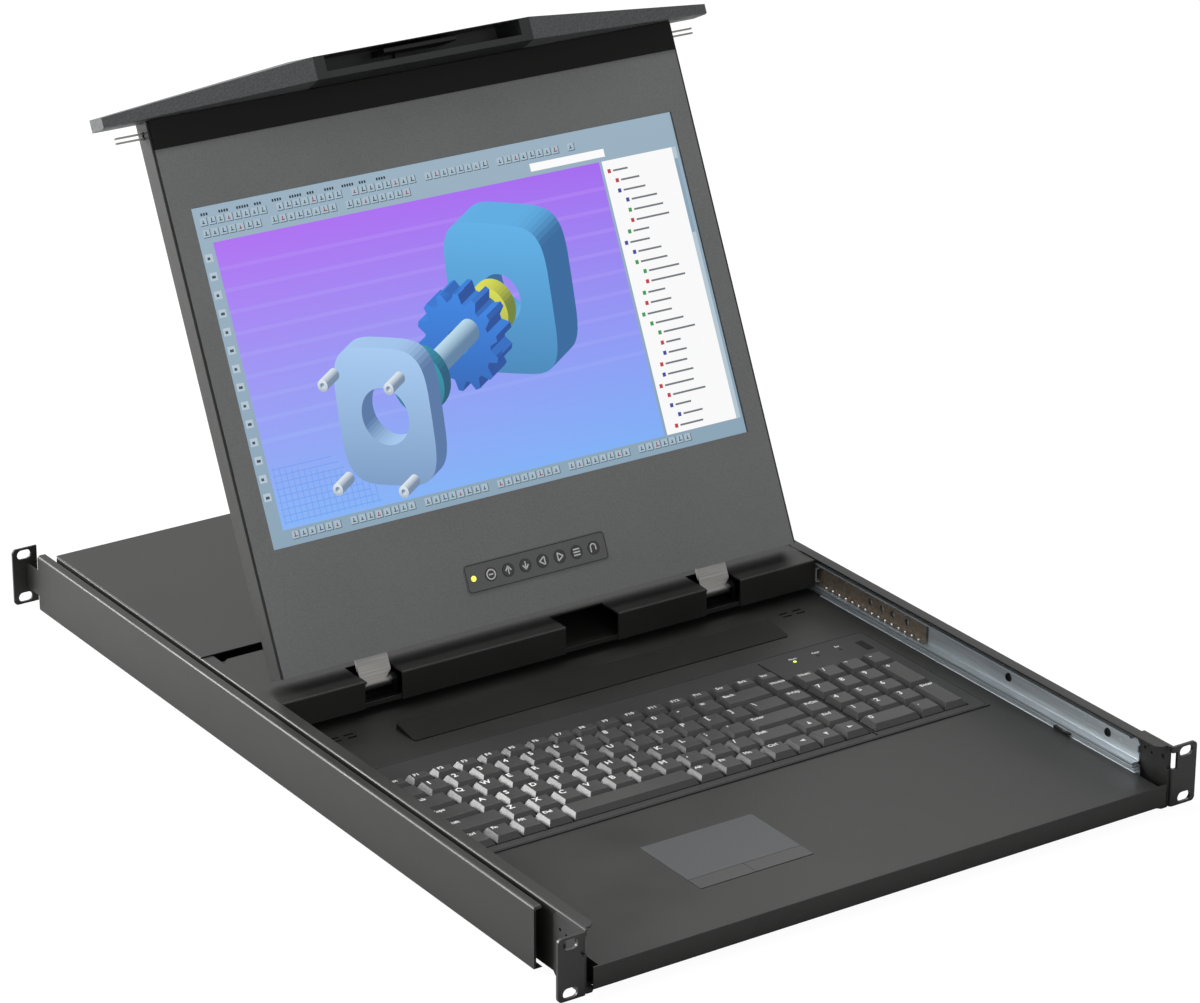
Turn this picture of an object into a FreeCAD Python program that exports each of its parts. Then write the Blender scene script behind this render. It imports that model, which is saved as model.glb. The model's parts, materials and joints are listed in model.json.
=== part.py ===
"""Rackmount LCD console drawer, 1U high, dual rail: a keyboard tray and a monitor carriage
slide on their own ball-bearing rails, and the monitor folds down over the keys.

Frame: X to the right seen from the front, Y towards the back of the rack, Z up.
The origin is the centre of the four front rack slots, on the front face of the ears.
All lengths are in millimetres. Each named sub-part is written to parts/NAME.step.
"""
import FreeCAD
import Part
import math
import os
from FreeCAD import Placement, Rotation, Vector

os.makedirs("parts", exist_ok=True)

# ---- 19-inch rack standard ----
EAR_SPAN = 482.6           # outer edge to outer edge of the ears
SLOT_INSET = 8.75          # slot centre in from the ear's outer edge
SLOT_SPAN = EAR_SPAN - 2 * SLOT_INSET
SLOT_PITCH = 31.75         # slot centre to slot centre up the rack
SLOT_WIDTH = 6.8
SLOT_LENGTH = 10.5

# ---- chassis ----
EAR_WIDTH = 20.0           # how far each ear stands out from the chassis side
HALF = EAR_SPAN / 2 - EAR_WIDTH          # half width over the chassis sides
HEIGHT = 42.6              # height over the side flanges
DEPTH = 658.0              # ear face to rear panel
SHEET = 1.2                # folded steel of the chassis, tray and carriage
FLANGE = 8.8               # inward fold along the top and bottom of each side
FLANGE_START = 4.0         # the upper fold stops short of the ear
FLANGE_CORNER = 3.5        # cut corner at the front of each fold
COVER_SHEET = 0.8
COVER_FRONT = 455.0        # front edge of the fixed rear cover
BEND = 1.6                 # outside radius of a sheet fold
TOP = HEIGHT / 2
BOTTOM = -HEIGHT / 2
INSIDE = HALF - SHEET                    # inner face of the chassis side
CLEAR = INSIDE - (BEND - SHEET)          # inside width clear of the folds' inner corners
FLOOR_LOW = BOTTOM + SHEET
FLOOR_TOP = FLOOR_LOW + COVER_SHEET

# ---- front ears ----
EAR_PLATE = 2.0
EAR_HEIGHT = 41.4
EAR_SIDE = 32.0            # how far the ear's side plate runs back along the chassis
EAR_CORNER = 3.0
LATCH_SLOT_LOW = 5.1       # window in the ear's bend that the monitor latch snaps into
LATCH_SLOT_HIGH = 16.6
LATCH_SLOT_REACH = 4.3     # how far the window runs out past the chassis side
LATCH_SLOT_DEEP = 3.6
EAR_HOLES = ((7.4, 12.2, 1.7), (18.5, 10.5, 1.1), (25.0, 11.8, 1.1))
EAR_SCREWS = ((8.0, -4.0), (22.0, 3.0), (22.0, -12.0))

# ---- rear rack brackets ----
BRACKET_SHEET = 1.5
BRACKET_GAP = 8.2          # from the chassis side to the bracket's web
BRACKET_OUT = HALF + BRACKET_GAP + BRACKET_SHEET
BRACKET_FRONT = 41.0       # front end of the long left bracket
SHORT_BRACKET_FRONT = 440.0
BRACKET_REAR = 668.0
BRACKET_HEIGHT = 41.6
BRACKET_FLANGE = 6.0
NECK_LENGTH = 19.0
NECK_HEIGHT = 18.0
REAR_EAR_WIDTH = 18.7
GUIDE_HEIGHT = 16.0
GUIDE_FRONT = (80.0, 230.0)
GUIDE_REAR = (450.0, 600.0)

# ---- ball-bearing rails ----
RAIL_SHEET = 1.2
RAIL_DEPTH = 6.7
RAIL_IN = INSIDE - RAIL_DEPTH            # inner edge of a rail fixed to the chassis side
RAIL_FRONT = 29.0
RAIL_CORNER = (4.0, 5.0)   # upper front corner cut back along and down
RAIL_NOTCH = (1.6, 5.0)    # shallow notch in the rail's front end, its depth and height
RAIL_SCREWS = (60.0, 161.0, 356.0, 540.0)
RAIL_RIVETS = (46.0, 84.0)
RIVET_R = 2.7
RIVET_PROUD = 0.5
RAIL_BEND = 2.2
UPPER_Z = 8.5              # mid height of the monitor rails
UPPER_HEIGHT = 18.0
UPPER_REAR = 610.0
LOWER_Z = -9.9             # mid height of the keyboard rails
LOWER_HEIGHT = 17.2
LOWER_REAR = 400.0
NEST_GAP = 0.4             # running gap between nested rail members
MEMBER_SHEET = 1.0
BALL_R = 1.2
BALL_SEAT_R = 1.4          # over the corners of a ball's seat in the cage
BALL_PITCH = 7.4
BALL_COUNT = 15
CAGE_SHEET = 0.5
CAGE_FRONT = 247.0
CAGE_LENGTH = 233.0
BALL_INSET = 2.7           # ball centres out from the carriage side
CAGE_HOLES = (268.0, 284.0, 296.0, 309.0)
CAGE_HOLE_R = 2.5
LEVER_PIVOT_Y = 104.0      # release lever on top of each keyboard rail
LEVER_PIVOT_Z = -2.9
LEVER_R = 1.0
LEVER_LENGTH = 15.0
LEVER_WIDTH = 1.9
LEVER_LIFT = 0.2
INNER_REAR = 600.0         # rear end of the monitor carriage's rail members

# ---- monitor carriage ----
CARRIAGE_HALF = RAIL_IN - NEST_GAP
CAGE_BALL_X = CARRIAGE_HALF + BALL_INSET
CARRIAGE_FRONT = 366.0
CARRIAGE_REAR = 446.5
CARRIAGE_LOW = 0.8         # lower edge of the carriage's front face
CARRIAGE_TOP = 20.5
COVER_FIT = 0.3            # from the carriage cover to the chassis folds
CARRIAGE_COVER_HALF = HALF - FLANGE - COVER_FIT
COVER_CORNER = 5.6         # cut corners at the back of the cover
HINGE_X = 135.25           # middle of each hinge
HINGE_GAP = 28.5           # width of the cut-outs in the cover at the hinges
HINGE_GAP_LOW = 4.0
HINGE_GAP_BACK = 392.0
CENTRE_GAP = (6.5, 49.0)   # cut-out in the middle of the cover for cables and fingers
CENTRE_GAP_BACK = 387.0
HINGE_EAR = 2.5
HINGE_EAR_R = 5.0
HINGE_SIDE_GAP = 0.4

# ---- monitor hinge and housing ----
AXIS_Y = 378.3
AXIS_Z = 11.8
OPEN_LEAN = 25.14          # degrees that the open monitor leans back from upright
PIN_R = 2.5
PIN_RUNNING = 0.05
BARREL_R = 4.2
LEAF_WIDTH = 24.0
LEAF_SHEET = 2.0
LEAF_REACH = 40.0
LEAF_CHAMFER = 6.0
# housing sizes: "up" is the distance from the hinge axis along the panel, "out" is the
# distance from the axis plane towards the screen side
SCREEN_WIDTH = 375.5
SCREEN_LOW = 99.4
SCREEN_HEIGHT = 226.0
BEZEL_BORDER = 14.85       # bezel to the left and right of the screen
SHELL_FIT = 0.4            # from the bezel to the shell's side walls
SHELL_LOW = 17.4
SHELL_TOP = 386.4
SHELL_BACK = -8.7
SHELL_WALL = 1.5
SEAM_OUT = 6.3             # plane where the bezel sits on the shell
SIDE_OUT = 7.3             # the side walls stand a little past the seam
BEZEL_FACE = 8.3
BEZEL_HALF = SCREEN_WIDTH / 2 + BEZEL_BORDER
SHELL_HALF = BEZEL_HALF + SHELL_FIT + SHELL_WALL
STRIP_LOW = 366.8          # dark strip across the top of the bezel
STRIP_HALF = SHELL_HALF - SHELL_WALL
STRIP_FACE = 9.3
STRIP_TOP_GAP = 0.1
PANEL_MARGIN = 3.5
PANEL_THICK = 7.0
PANEL_POST = 10.0
POST_INSET = (17.75, 12.0)               # posts in from the screen's side and end edges
BOARD_WIDTH = 120.0        # monitor's driver board
BOARD_LOW = 160.0
BOARD_HEIGHT = 80.0
BOARD_THICK = 1.6
BOARD_LIFT = 2.0
STANDOFF = 6.0
CHIP_THICK = 1.6
CHIPS = ((-40.0, 20.0, 20.0), (10.0, 30.0, 26.0), (-20.0, 52.0, 14.0))
BACK_SCREW_INSET = 14.5    # screws on the monitor's back, in from its side edges
BACK_SCREW_X = 64.0
BACK_SCREW_UP = (12.6, 12.4)             # and in from its lower and upper edges
BACK_VENT = (26.0, 2.4)
BACK_VENT_PITCH = (32.0, 10.0)
BACK_VENT_ROWS = 6
BACK_VENT_X = 150.0
BACK_VENT_UP = 90.0

# ---- on-screen menu keys ----
OSD_HALF = 56.0
OSD_UP = 49.2
OSD_HEIGHT = 20.0
OSD_THICK = 0.4
OSD_CORNER = 3.0
OSD_FIRST = -36.2
OSD_PITCH = 13.6
OSD_NAMES = ("power", "up", "down", "left", "right", "menu", "exit")
OSD_R = 4.4
OSD_GAP = 0.3
OSD_POCKET = 1.0
OSD_PROUD = 0.6
OSD_BODY = 1.0
LED_X = -49.8
LED_R = 2.0
LED_PROUD = 0.6

# ---- handle and latch ----
GRIP_INSET = 6.3           # handle tips in from the ears' outer edges
GRIP_TIP = EAR_SPAN / 2 - GRIP_INSET     # half length over the handle tips
GRIP_SHOULDER = 84.0       # half length of the smooth middle part
GRIP_TIP_OUT = 9.0
GRIP_OUT = 24.8
GRIP_TOP_BACK = 408.5
GRIP_TOP_FRONT = 405.5
GRIP_LOW_FRONT = 390.0
TIP_TOP_FRONT = 393.5
POCKET_HALF = 76.0         # finger recess, at its mouth
POCKET_FLOOR_HALF = 70.0
POCKET_LOW = 394.5
POCKET_HIGH = 405.0
POCKET_FLOOR = 2.0
TAB_HALF = 28.0            # squeeze tab inside the recess
TAB_LOW = 399.5
TAB_THICK = 4.0
TAB_IN = 2.6
TAB_OUT = 20.0
STEM_HALF = 12.0
STEM_SHEET = 2.0
STEM_LOW = 379.0
SLIDE_GAP = 0.3
LATCH_UP = 377.8
LATCH_BAR = 3.0
LATCH_THICK = 2.4
LATCH_IN = 16.0
LATCH_ROOT = SHELL_HALF - 2.5
LATCH_PASS = 3.7           # how far the prongs reach past the chassis side
LATCH_TIP = HALF + LATCH_PASS
PRONG = 1.2
PRONG_PITCH = 3.2

# ---- keyboard tray ----
TRAY_CLEAR = 1.4           # from the tray's side to the rail's edge
TRAY_HALF = RAIL_IN - TRAY_CLEAR
TRAY_TOP = -4.2
TRAY_LOW = -18.3
TRAY_REAR = 385.0
TRAY_BASE = 1.0
LIP_INSET = 3.1            # front lip in from the chassis side's inner face
LIP_HALF = INSIDE - LIP_INSET
LIP_FRONT = -0.8
LIP_TOP = -3.6
LIP_LOW = -18.0
VENT_SLOT = (7.0, 1.8)
VENT_PITCH = (11.2, 4.8)
VENT_INSET = (27.8, 36.3)  # outermost slot in from the tray's side and rear edges
PAD_SPAN = (-143.0, 154.0)
PAD_FRONT = 316.0
PAD_BACK = 340.0
PAD_RISE = 4.4
PAD_TOE = 0.6

# ---- keyboard ----
KEY = 19.05                # full-size key pitch
KEYS_LEFT = -197.6
KEYS_FRONT = 162.4         # front edge of the space-bar row
KEY_GAP = 0.9
KEY_TOP = 0.4              # height of the key tops in the row frame
KEY_LOW = -5.9
KEY_TAPER = 2.0            # each cap narrows by this much on every side
FUNCTION_COUNT = 17
FUNCTION_DEPTH = 13.0
FUNCTION_FRONT = 257.8
KEYPAD_LEFT = 111.0
BEZEL_LEFT = -201.0
BEZEL_RIGHT = 199.0
BEZEL_FRONT = 154.5
BEZEL_REAR = 295.0
BEZEL_LIP = 1.6            # how far the keyboard frame rests on the tray around its opening
BEZEL_SHEET = 0.8
BEZEL_FIT = 0.3
SKIRT = 1.2
KEY_WELL = 0.3
BASE_TOP = -8.5
BASE_THICK = 1.2
KEYBOARD_LEDS = ((132.0, 279.0), (150.9, 279.0), (169.8, 279.0))
KEYBOARD_LED_R = 1.2
KEYBOARD_LED_PROUD = 0.4

# ---- touchpad ----
TOUCH_LEFT = -108.0
TOUCH_RIGHT = -24.0
TOUCH_FRONT = 46.5
TOUCH_REAR = 111.5
TOUCH_KEYS = 13.4          # depth of the two buttons in front of the pad
TOUCH_SPLIT = -67.1
TOUCH_FACE = -3.9
TOUCH_GAP = 0.3
TOUCH_RIM = 3.0
TOUCH_BASE = 1.4
TOUCH_TRAVEL_ROOM = 0.7

# ---- rear compartment ----
PANEL_VENTS = 12
PANEL_VENT = (3.0, 18.0)
PANEL_VENT_PITCH = 6.0
PANEL_VENT_X = 40.0
INLET_X = 150.0
INLET_WIDTH = 28.0
INLET_HEIGHT = 20.0
INLET_DEEP = 18.0
INLET_WALL = 2.0
INLET_RIM = (3.0, 2.0)     # how far the rim stands around the inlet, and its thickness
INLET_PIN = (2.0, 4.0)
INLET_PIN_PLACES = ((-7.0, -2.0), (0.0, 2.0), (7.0, -2.0))
INLET_PIN_BACK = 5.0       # pins end this far inside the panel
PORT_X = -40.0
PORT_WIDTH = 31.0
PORT_HEIGHT = 12.6
PORT_DEEP = 12.0
PORT_PLATE = (4.0, 0.6, 1.0)             # plate past the body sideways, up, and its thickness
PORT_SHELL = (9.0, 7.4, 4.0, 5.0)        # half width at top and bottom, half height, reach
PORT_POST = (12.5, 2.4, 4.5)             # place, radius and reach of the two posts


# ---- helpers ----
def box(x0, x1, y0, y1, z0, z1):
    return Part.makeBox(x1 - x0, y1 - y0, z1 - z0, Vector(x0, y0, z0))


def fuse(shapes):
    return shapes[0].multiFuse(shapes[1:]).removeSplitter()


def cut(shape, tools):
    return shape.cut(Part.makeCompound(tools))


def mirrored(shape):
    return shape.mirror(Vector(0, 0, 0), Vector(1, 0, 0))


def both_sides(shape):
    return [shape, mirrored(shape)]


def save(name, shapes):
    solids = []
    for shape in shapes:
        solids.extend(shape.Solids)
    result = solids[0] if len(solids) == 1 else Part.makeCompound(solids)
    result.exportStep("parts/" + name + ".step")


def edges_along(shape, axis, places, reach=0.01):
    """Straight edges parallel to axis that pass through one of the given (a, b) places,
    where a and b are the other two coordinates in X, Y, Z order."""
    others = [i for i in range(3) if i != axis]
    found = []
    for edge in shape.Edges:
        if edge.Curve.TypeId != "Part::GeomLine":
            continue
        start, end = (vertex.Point for vertex in edge.Vertexes)
        if any(abs(start[i] - end[i]) > reach for i in others):
            continue
        if any(all(abs(start[i] - p) < reach for i, p in zip(others, place)) for place in places):
            found.append(edge)
    return found


def rounded(shape, axis, places, radius):
    return shape.makeFillet(radius, edges_along(shape, axis, places))


def channel(x_open, x_back, y0, y1, z0, z1, sheet, bend):
    """Channel along Y whose web is at x_back and whose flanges reach towards x_open."""
    low_x, high_x = min(x_open, x_back), max(x_open, x_back)
    outer = box(low_x, high_x, y0, y1, z0, z1)
    outer = rounded(outer, 1, ((x_back, z0), (x_back, z1)), bend)
    step = sheet if x_back > x_open else -sheet
    inner_back = x_back - step
    reach = x_open - step
    hollow = box(min(reach, inner_back), max(reach, inner_back), y0, y1, z0 + sheet, z1 - sheet)
    if bend > sheet:
        places = ((inner_back, z0 + sheet), (inner_back, z1 - sheet))
        hollow = rounded(hollow, 1, places, bend - sheet)
    return outer.cut(hollow)


def slot_along_x(x, y0, y1, z, length, width):
    radius = width / 2
    half = length / 2 - radius
    ends = [Part.makeCylinder(radius, y1 - y0, Vector(x + s * half, y0, z), Vector(0, 1, 0))
            for s in (-1, 1)]
    return fuse([box(x - half, x + half, y0, y1, z - radius, z + radius)] + ends)


def rack_slots(y0, y1):
    return [slot_along_x(SLOT_SPAN / 2, y0, y1, s * SLOT_PITCH / 2, SLOT_LENGTH, SLOT_WIDTH)
            for s in (-1, 1)]


def ring(radius, sides, z=0.0):
    """Corners of a regular polygon around Z, as wide over its corners as the circle."""
    step = 2 * math.pi / sides
    return [Vector(radius * math.cos((i + 0.5) * step), radius * math.sin((i + 0.5) * step), z)
            for i in range(sides)]


def solid_of(loops):
    """Solid whose flat faces have the given loops of corners."""
    solid = Part.Solid(Part.Shell([Part.Face(Part.makePolygon(loop + loop[:1]))
                                   for loop in loops]))
    if solid.Volume < 0:
        solid.reverse()
    return solid


def frustum(lower, upper):
    """Solid between two polygons with equally many corners and flat sides between them."""
    count = len(lower)
    sides = [[lower[i], lower[(i + 1) % count], upper[(i + 1) % count], upper[i]]
             for i in range(count)]
    return solid_of([lower, upper] + sides)


def peg(radius, height, base, direction=Vector(0, 0, 1), sides=12, top=1.0):
    """Small round piece or hole made with flat sides; top is its far radius as a share."""
    body = frustum(ring(radius, sides), ring(radius * top, sides, height))
    body.Placement = Placement(base, Rotation(Vector(0, 0, 1), direction))
    return body


def screw_head(x, y, z, direction, radius=3.0, height=1.0):
    """Low domed head with a cross recess, standing on a surface and facing along direction."""
    head = peg(radius, height, Vector(0, 0, 0), top=0.8)
    arm, thin, floor = radius * 0.5, radius * 0.15, height * 0.4
    head = cut(head, [fuse([box(-arm, arm, -thin, thin, floor, height + 1),
                            box(-thin, thin, -arm, arm, floor, height + 1)])])
    head.Placement = Placement(Vector(x, y, z), Rotation(Vector(0, 0, 1), direction))
    return head


def panel(x0, x1, up0, up1, out0, out1):
    """Box in the monitor's own frame: X, up along the panel, out towards the screen side."""
    return box(x0, x1, up0, up1, out0, out1)


def opened(shape):
    """Stand a shape from the monitor's own frame up on the hinge at the open angle."""
    turned = shape.copy()
    stand = Placement(Vector(0, AXIS_Y, AXIS_Z), Rotation(Vector(1, 0, 0), 90.0 - OPEN_LEAN))
    turned.Placement = stand.multiply(turned.Placement)
    return turned


def save_opened(name, shapes):
    save(name, [opened(shape) for shape in shapes])


# ---- chassis ----
def latch_window():
    return box(HALF - 2 * SHEET, HALF + LATCH_SLOT_REACH, -1.0, LATCH_SLOT_DEEP,
               LATCH_SLOT_LOW, LATCH_SLOT_HIGH)


def ear_pegs():
    """Holes through the chassis side and the ear's side plate."""
    return [peg(r, SHEET + EAR_PLATE + 2, Vector(INSIDE - 1, y, z), Vector(1, 0, 0))
            for y, z, r in EAR_HOLES]


def fold_corner(y, z0, z1):
    """Wedge that takes the front inner corner off a fold."""
    x = HALF - FLANGE
    corners = [Vector(x - 1, y - 1, z0), Vector(x + FLANGE_CORNER, y - 1, z0),
               Vector(x + FLANGE_CORNER, y, z0), Vector(x, y + FLANGE_CORNER, z0),
               Vector(x - 1, y + FLANGE_CORNER, z0)]
    return Part.Face(Part.makePolygon(corners + corners[:1])).extrude(Vector(0, 0, z1 - z0))


def chassis_side():
    side = channel(HALF - FLANGE, HALF, EAR_PLATE, DEPTH, BOTTOM, TOP, SHEET, BEND)
    front = box(HALF - FLANGE - 1, HALF - BEND, EAR_PLATE - 1, FLANGE_START, TOP - SHEET, TOP + 1)
    corners = [fold_corner(FLANGE_START, TOP - SHEET, TOP + 1),
               fold_corner(EAR_PLATE, BOTTOM - 1, BOTTOM + SHEET)]
    return cut(side, [front, latch_window()] + corners + ear_pegs())


def front_ear():
    outer_x = EAR_SPAN / 2
    half_height = EAR_HEIGHT / 2
    plate = box(HALF, outer_x, 0, EAR_PLATE, -half_height, half_height)
    plate = rounded(plate, 1, ((outer_x, -half_height), (outer_x, half_height)), EAR_CORNER)
    side = box(HALF, HALF + EAR_PLATE, 0, EAR_SIDE, -half_height, half_height)
    side = side.makeChamfer(2.0, edges_along(side, 0, ((EAR_SIDE, half_height),
                                                       (EAR_SIDE, -half_height))))
    ear = fuse([plate, side])
    ear = rounded(ear, 2, ((HALF, 0),), EAR_PLATE * 0.9)
    return cut(ear, rack_slots(-1, EAR_PLATE + 1) + ear_pegs() + [latch_window()])


def rear_cover():
    sheet = box(-HALF, HALF, COVER_FRONT, DEPTH, TOP, TOP + COVER_SHEET)
    return rounded(sheet, 1, ((HALF, TOP + COVER_SHEET), (-HALF, TOP + COVER_SHEET)),
                   COVER_SHEET * 0.6)


def chassis_floor():
    return box(-CLEAR, CLEAR, FLANGE_START + 4, DEPTH - SHEET, FLOOR_LOW, FLOOR_TOP)


def inlet_block(margin, y0, y1):
    """Block on the mains inlet's outline, margin wider on every side."""
    half_w, half_h = INLET_WIDTH / 2 + margin, INLET_HEIGHT / 2 + margin
    return box(INLET_X - half_w, INLET_X + half_w, y0, y1, -half_h, half_h)


def port_block(side, up, y0, y1):
    half_w, half_h = PORT_WIDTH / 2 + side, PORT_HEIGHT / 2 + up
    return box(PORT_X - half_w, PORT_X + half_w, y0, y1, -half_h, half_h)


def rear_panel():
    front, back = DEPTH - SHEET - 1, DEPTH + 1
    wall = box(-CLEAR, CLEAR, DEPTH - SHEET, DEPTH, FLOOR_LOW, TOP - SHEET)
    width, height = PANEL_VENT
    vents = [box(x, x + width, front, back, -height / 2, height / 2)
             for x in (PANEL_VENT_X + i * PANEL_VENT_PITCH for i in range(PANEL_VENTS))]
    return cut(wall, [inlet_block(0, front, back), port_block(0, 0, front, back)] + vents)


def rear_ports():
    """Mains inlet with three flat pins, and a trapezoid signal connector with its two posts."""
    margin, rim_thick = INLET_RIM
    body = inlet_block(0, DEPTH - INLET_DEEP, DEPTH)
    rim = inlet_block(margin, DEPTH, DEPTH + rim_thick)
    floor = DEPTH - INLET_DEEP + INLET_WALL
    mouth = inlet_block(-INLET_WALL, floor, DEPTH + rim_thick + 1)
    w, h = INLET_PIN
    pins = [box(INLET_X + x - w / 2, INLET_X + x + w / 2, floor - INLET_WALL / 2,
                DEPTH - INLET_PIN_BACK, z - h / 2, z + h / 2) for x, z in INLET_PIN_PLACES]
    inlet = fuse([fuse([body, rim]).cut(mouth)] + pins)
    side, up, plate_thick = PORT_PLATE
    face = DEPTH + plate_thick
    plate = port_block(side, up, DEPTH, face)
    back = port_block(0, 0, DEPTH - PORT_DEEP, DEPTH)
    wide, narrow, high, reach = PORT_SHELL
    corners = [Vector(PORT_X + x, face, z) for x, z in
               ((-wide, high), (wide, high), (narrow, -high), (-narrow, -high))]
    shell = Part.Face(Part.makePolygon(corners + corners[:1])).extrude(Vector(0, reach, 0))
    place, radius, post_reach = PORT_POST
    posts = [peg(radius, post_reach, Vector(PORT_X + s * place, face, 0), Vector(0, 1, 0), 6)
             for s in (-1, 1)]
    return [inlet, fuse([plate, shell, back] + posts)]


def chassis_screws():
    ear = [screw_head(HALF + EAR_PLATE, y, z, Vector(1, 0, 0), 2.6, 0.9) for y, z in EAR_SCREWS]
    rail = [screw_head(INSIDE - RAIL_SHEET, y, UPPER_Z, Vector(-1, 0, 0), 3.2, 0.9)
            for y in RAIL_SCREWS]
    heads = []
    for head in ear + rail:
        heads.extend(both_sides(head))
    return heads


# ---- rear rack brackets ----
def rear_bracket(front):
    """Channel arm from the given front end to the rear, with a neck and a slotted rack ear."""
    half = BRACKET_HEIGHT / 2
    ear_half = EAR_HEIGHT / 2
    web_in = BRACKET_OUT - BRACKET_SHEET
    body = channel(BRACKET_OUT - BRACKET_FLANGE, BRACKET_OUT, front, BRACKET_REAR,
                   -half, half, BRACKET_SHEET, BRACKET_SHEET * 1.4)
    tail = BRACKET_REAR + NECK_LENGTH
    neck = box(web_in, BRACKET_OUT, BRACKET_REAR, tail, -NECK_HEIGHT / 2, NECK_HEIGHT / 2)
    outer_x = EAR_SPAN / 2
    ear = box(outer_x - REAR_EAR_WIDTH, outer_x, tail - BRACKET_SHEET, tail,
              -ear_half, ear_half)
    ear = rounded(ear, 1, ((outer_x, -ear_half), (outer_x, ear_half)), EAR_CORNER)
    nose = box(BRACKET_OUT - BRACKET_FLANGE - 1, BRACKET_OUT + 1, front - 1,
               BRACKET_REAR, -half - 1, half + 1)
    blank = box(BRACKET_OUT - BRACKET_FLANGE - 2, BRACKET_OUT + 2, front,
                BRACKET_REAR + 1, -half, half)
    blank = rounded(blank, 0, ((front, half), (front, -half)), EAR_CORNER)
    return cut(fuse([body.cut(nose.cut(blank)), neck, ear]),
               rack_slots(tail - BRACKET_SHEET - 1, tail + 1))


def bracket_guides():
    """Blocks on the chassis sides that the brackets slide along."""
    def block(y0, y1):
        return box(HALF, BRACKET_OUT - BRACKET_SHEET, y0, y1, -GUIDE_HEIGHT / 2, GUIDE_HEIGHT / 2)
    return both_sides(block(*GUIDE_REAR)) + [mirrored(block(*GUIDE_FRONT))]


# ---- rails ----
def fixed_rail(z_mid, height, rear):
    return channel(RAIL_IN, INSIDE, RAIL_FRONT, rear, z_mid - height / 2, z_mid + height / 2,
                   RAIL_SHEET, RAIL_BEND)


def upper_rail():
    """Monitor rail with a cut corner and a notch at its front end, and two rivets on its web."""
    rail = fixed_rail(UPPER_Z, UPPER_HEIGHT, UPPER_REAR)
    top = UPPER_Z + UPPER_HEIGHT / 2
    back, down = RAIL_CORNER
    points = [(RAIL_FRONT - 1, top + 1), (RAIL_FRONT + back, top + 1), (RAIL_FRONT + back, top),
              (RAIL_FRONT, top - down), (RAIL_FRONT - 1, top - down)]
    corners = [Vector(RAIL_IN - 1, y, z) for y, z in points]
    corner = Part.Face(Part.makePolygon(corners + corners[:1])).extrude(
        Vector(RAIL_DEPTH + 2, 0, 0))
    deep, high = RAIL_NOTCH
    notch = box(RAIL_IN - 1, INSIDE + 1, RAIL_FRONT - 1, RAIL_FRONT + deep, UPPER_Z - high / 2,
                UPPER_Z + high / 2)
    rivets = [peg(RIVET_R, RIVET_PROUD + RAIL_SHEET / 2, Vector(INSIDE - RAIL_SHEET / 2, y, UPPER_Z),
                  Vector(-1, 0, 0), top=0.8) for y in RAIL_RIVETS]
    return fuse([cut(rail, [corner, notch])] + rivets)


BALL_LOW = UPPER_Z - UPPER_HEIGHT / 2 + RAIL_SHEET + BALL_R
BALL_HIGH = UPPER_Z + UPPER_HEIGHT / 2 - RAIL_SHEET - BALL_R


def ball_centres():
    start = CAGE_FRONT + BALL_PITCH * 0.8
    return [Vector(CAGE_BALL_X, start + i * BALL_PITCH, z)
            for z in (BALL_LOW, BALL_HIGH) for i in range(BALL_COUNT)]


def ball_cage():
    half = CAGE_SHEET / 2
    web_x = INSIDE - RAIL_SHEET - 1.4
    rear = CAGE_FRONT + CAGE_LENGTH
    cage = channel(CAGE_BALL_X - BALL_R + 0.3, web_x, CAGE_FRONT, rear,
                   BALL_LOW - half, BALL_HIGH + half, CAGE_SHEET, CAGE_SHEET)
    seats = [peg(BALL_SEAT_R, 4 * CAGE_SHEET, centre - Vector(0, 0, 2 * CAGE_SHEET), sides=8)
             for centre in ball_centres()]
    holes = [peg(CAGE_HOLE_R, 3.0, Vector(web_x - 2, y, UPPER_Z), Vector(1, 0, 0))
             for y in CAGE_HOLES]
    return cut(cage, seats + holes)


def ball(centre):
    """Bearing ball with twenty flat facets: two poles and two rings of five corners."""
    z, r = BALL_R / math.sqrt(5), 2 * BALL_R / math.sqrt(5)
    upper = [Vector(r * math.cos(i * math.pi / 2.5), r * math.sin(i * math.pi / 2.5), z)
             for i in range(5)]
    lower = [Vector(-point.x, -point.y, -point.z) for point in upper[2:] + upper[:2]]
    faces = []
    for i in range(5):
        j = (i + 1) % 5
        faces += [[upper[i], upper[j], Vector(0, 0, BALL_R)], [lower[i], lower[j], Vector(0, 0, -BALL_R)],
                  [upper[i], upper[j], lower[j]], [lower[i], lower[j], upper[i]]]
    return solid_of(faces).translated(centre)


def balls():
    return [ball(centre) for centre in ball_centres()]


def carriage_rail():
    """Short member on the carriage side, running between the two rows of balls."""
    web = CARRIAGE_HALF
    return channel(CAGE_BALL_X + 1.0, web, CARRIAGE_FRONT, INNER_REAR,
                   BALL_LOW + BALL_R, BALL_HIGH - BALL_R, MEMBER_SHEET, MEMBER_SHEET * 1.4)


LOWER_LOW = LOWER_Z - LOWER_HEIGHT / 2
LOWER_HIGH = LOWER_Z + LOWER_HEIGHT / 2
MIDDLE_INSET = RAIL_SHEET + NEST_GAP
INNER_INSET = MIDDLE_INSET + MEMBER_SHEET + NEST_GAP


def lower_middle_rail():
    web = INSIDE - RAIL_SHEET - NEST_GAP
    return channel(TRAY_HALF + MEMBER_SHEET + NEST_GAP, web, RAIL_FRONT - 2, LOWER_REAR,
                   LOWER_LOW + MIDDLE_INSET, LOWER_HIGH - MIDDLE_INSET,
                   MEMBER_SHEET, MEMBER_SHEET * 1.6)


def tray_rail():
    reach = INSIDE - RAIL_SHEET - NEST_GAP - MEMBER_SHEET - NEST_GAP
    return channel(reach, TRAY_HALF, RAIL_FRONT - 4, TRAY_REAR - 25,
                   LOWER_LOW + INNER_INSET, LOWER_HIGH - INNER_INSET,
                   MEMBER_SHEET, MEMBER_SHEET * 1.4)


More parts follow.
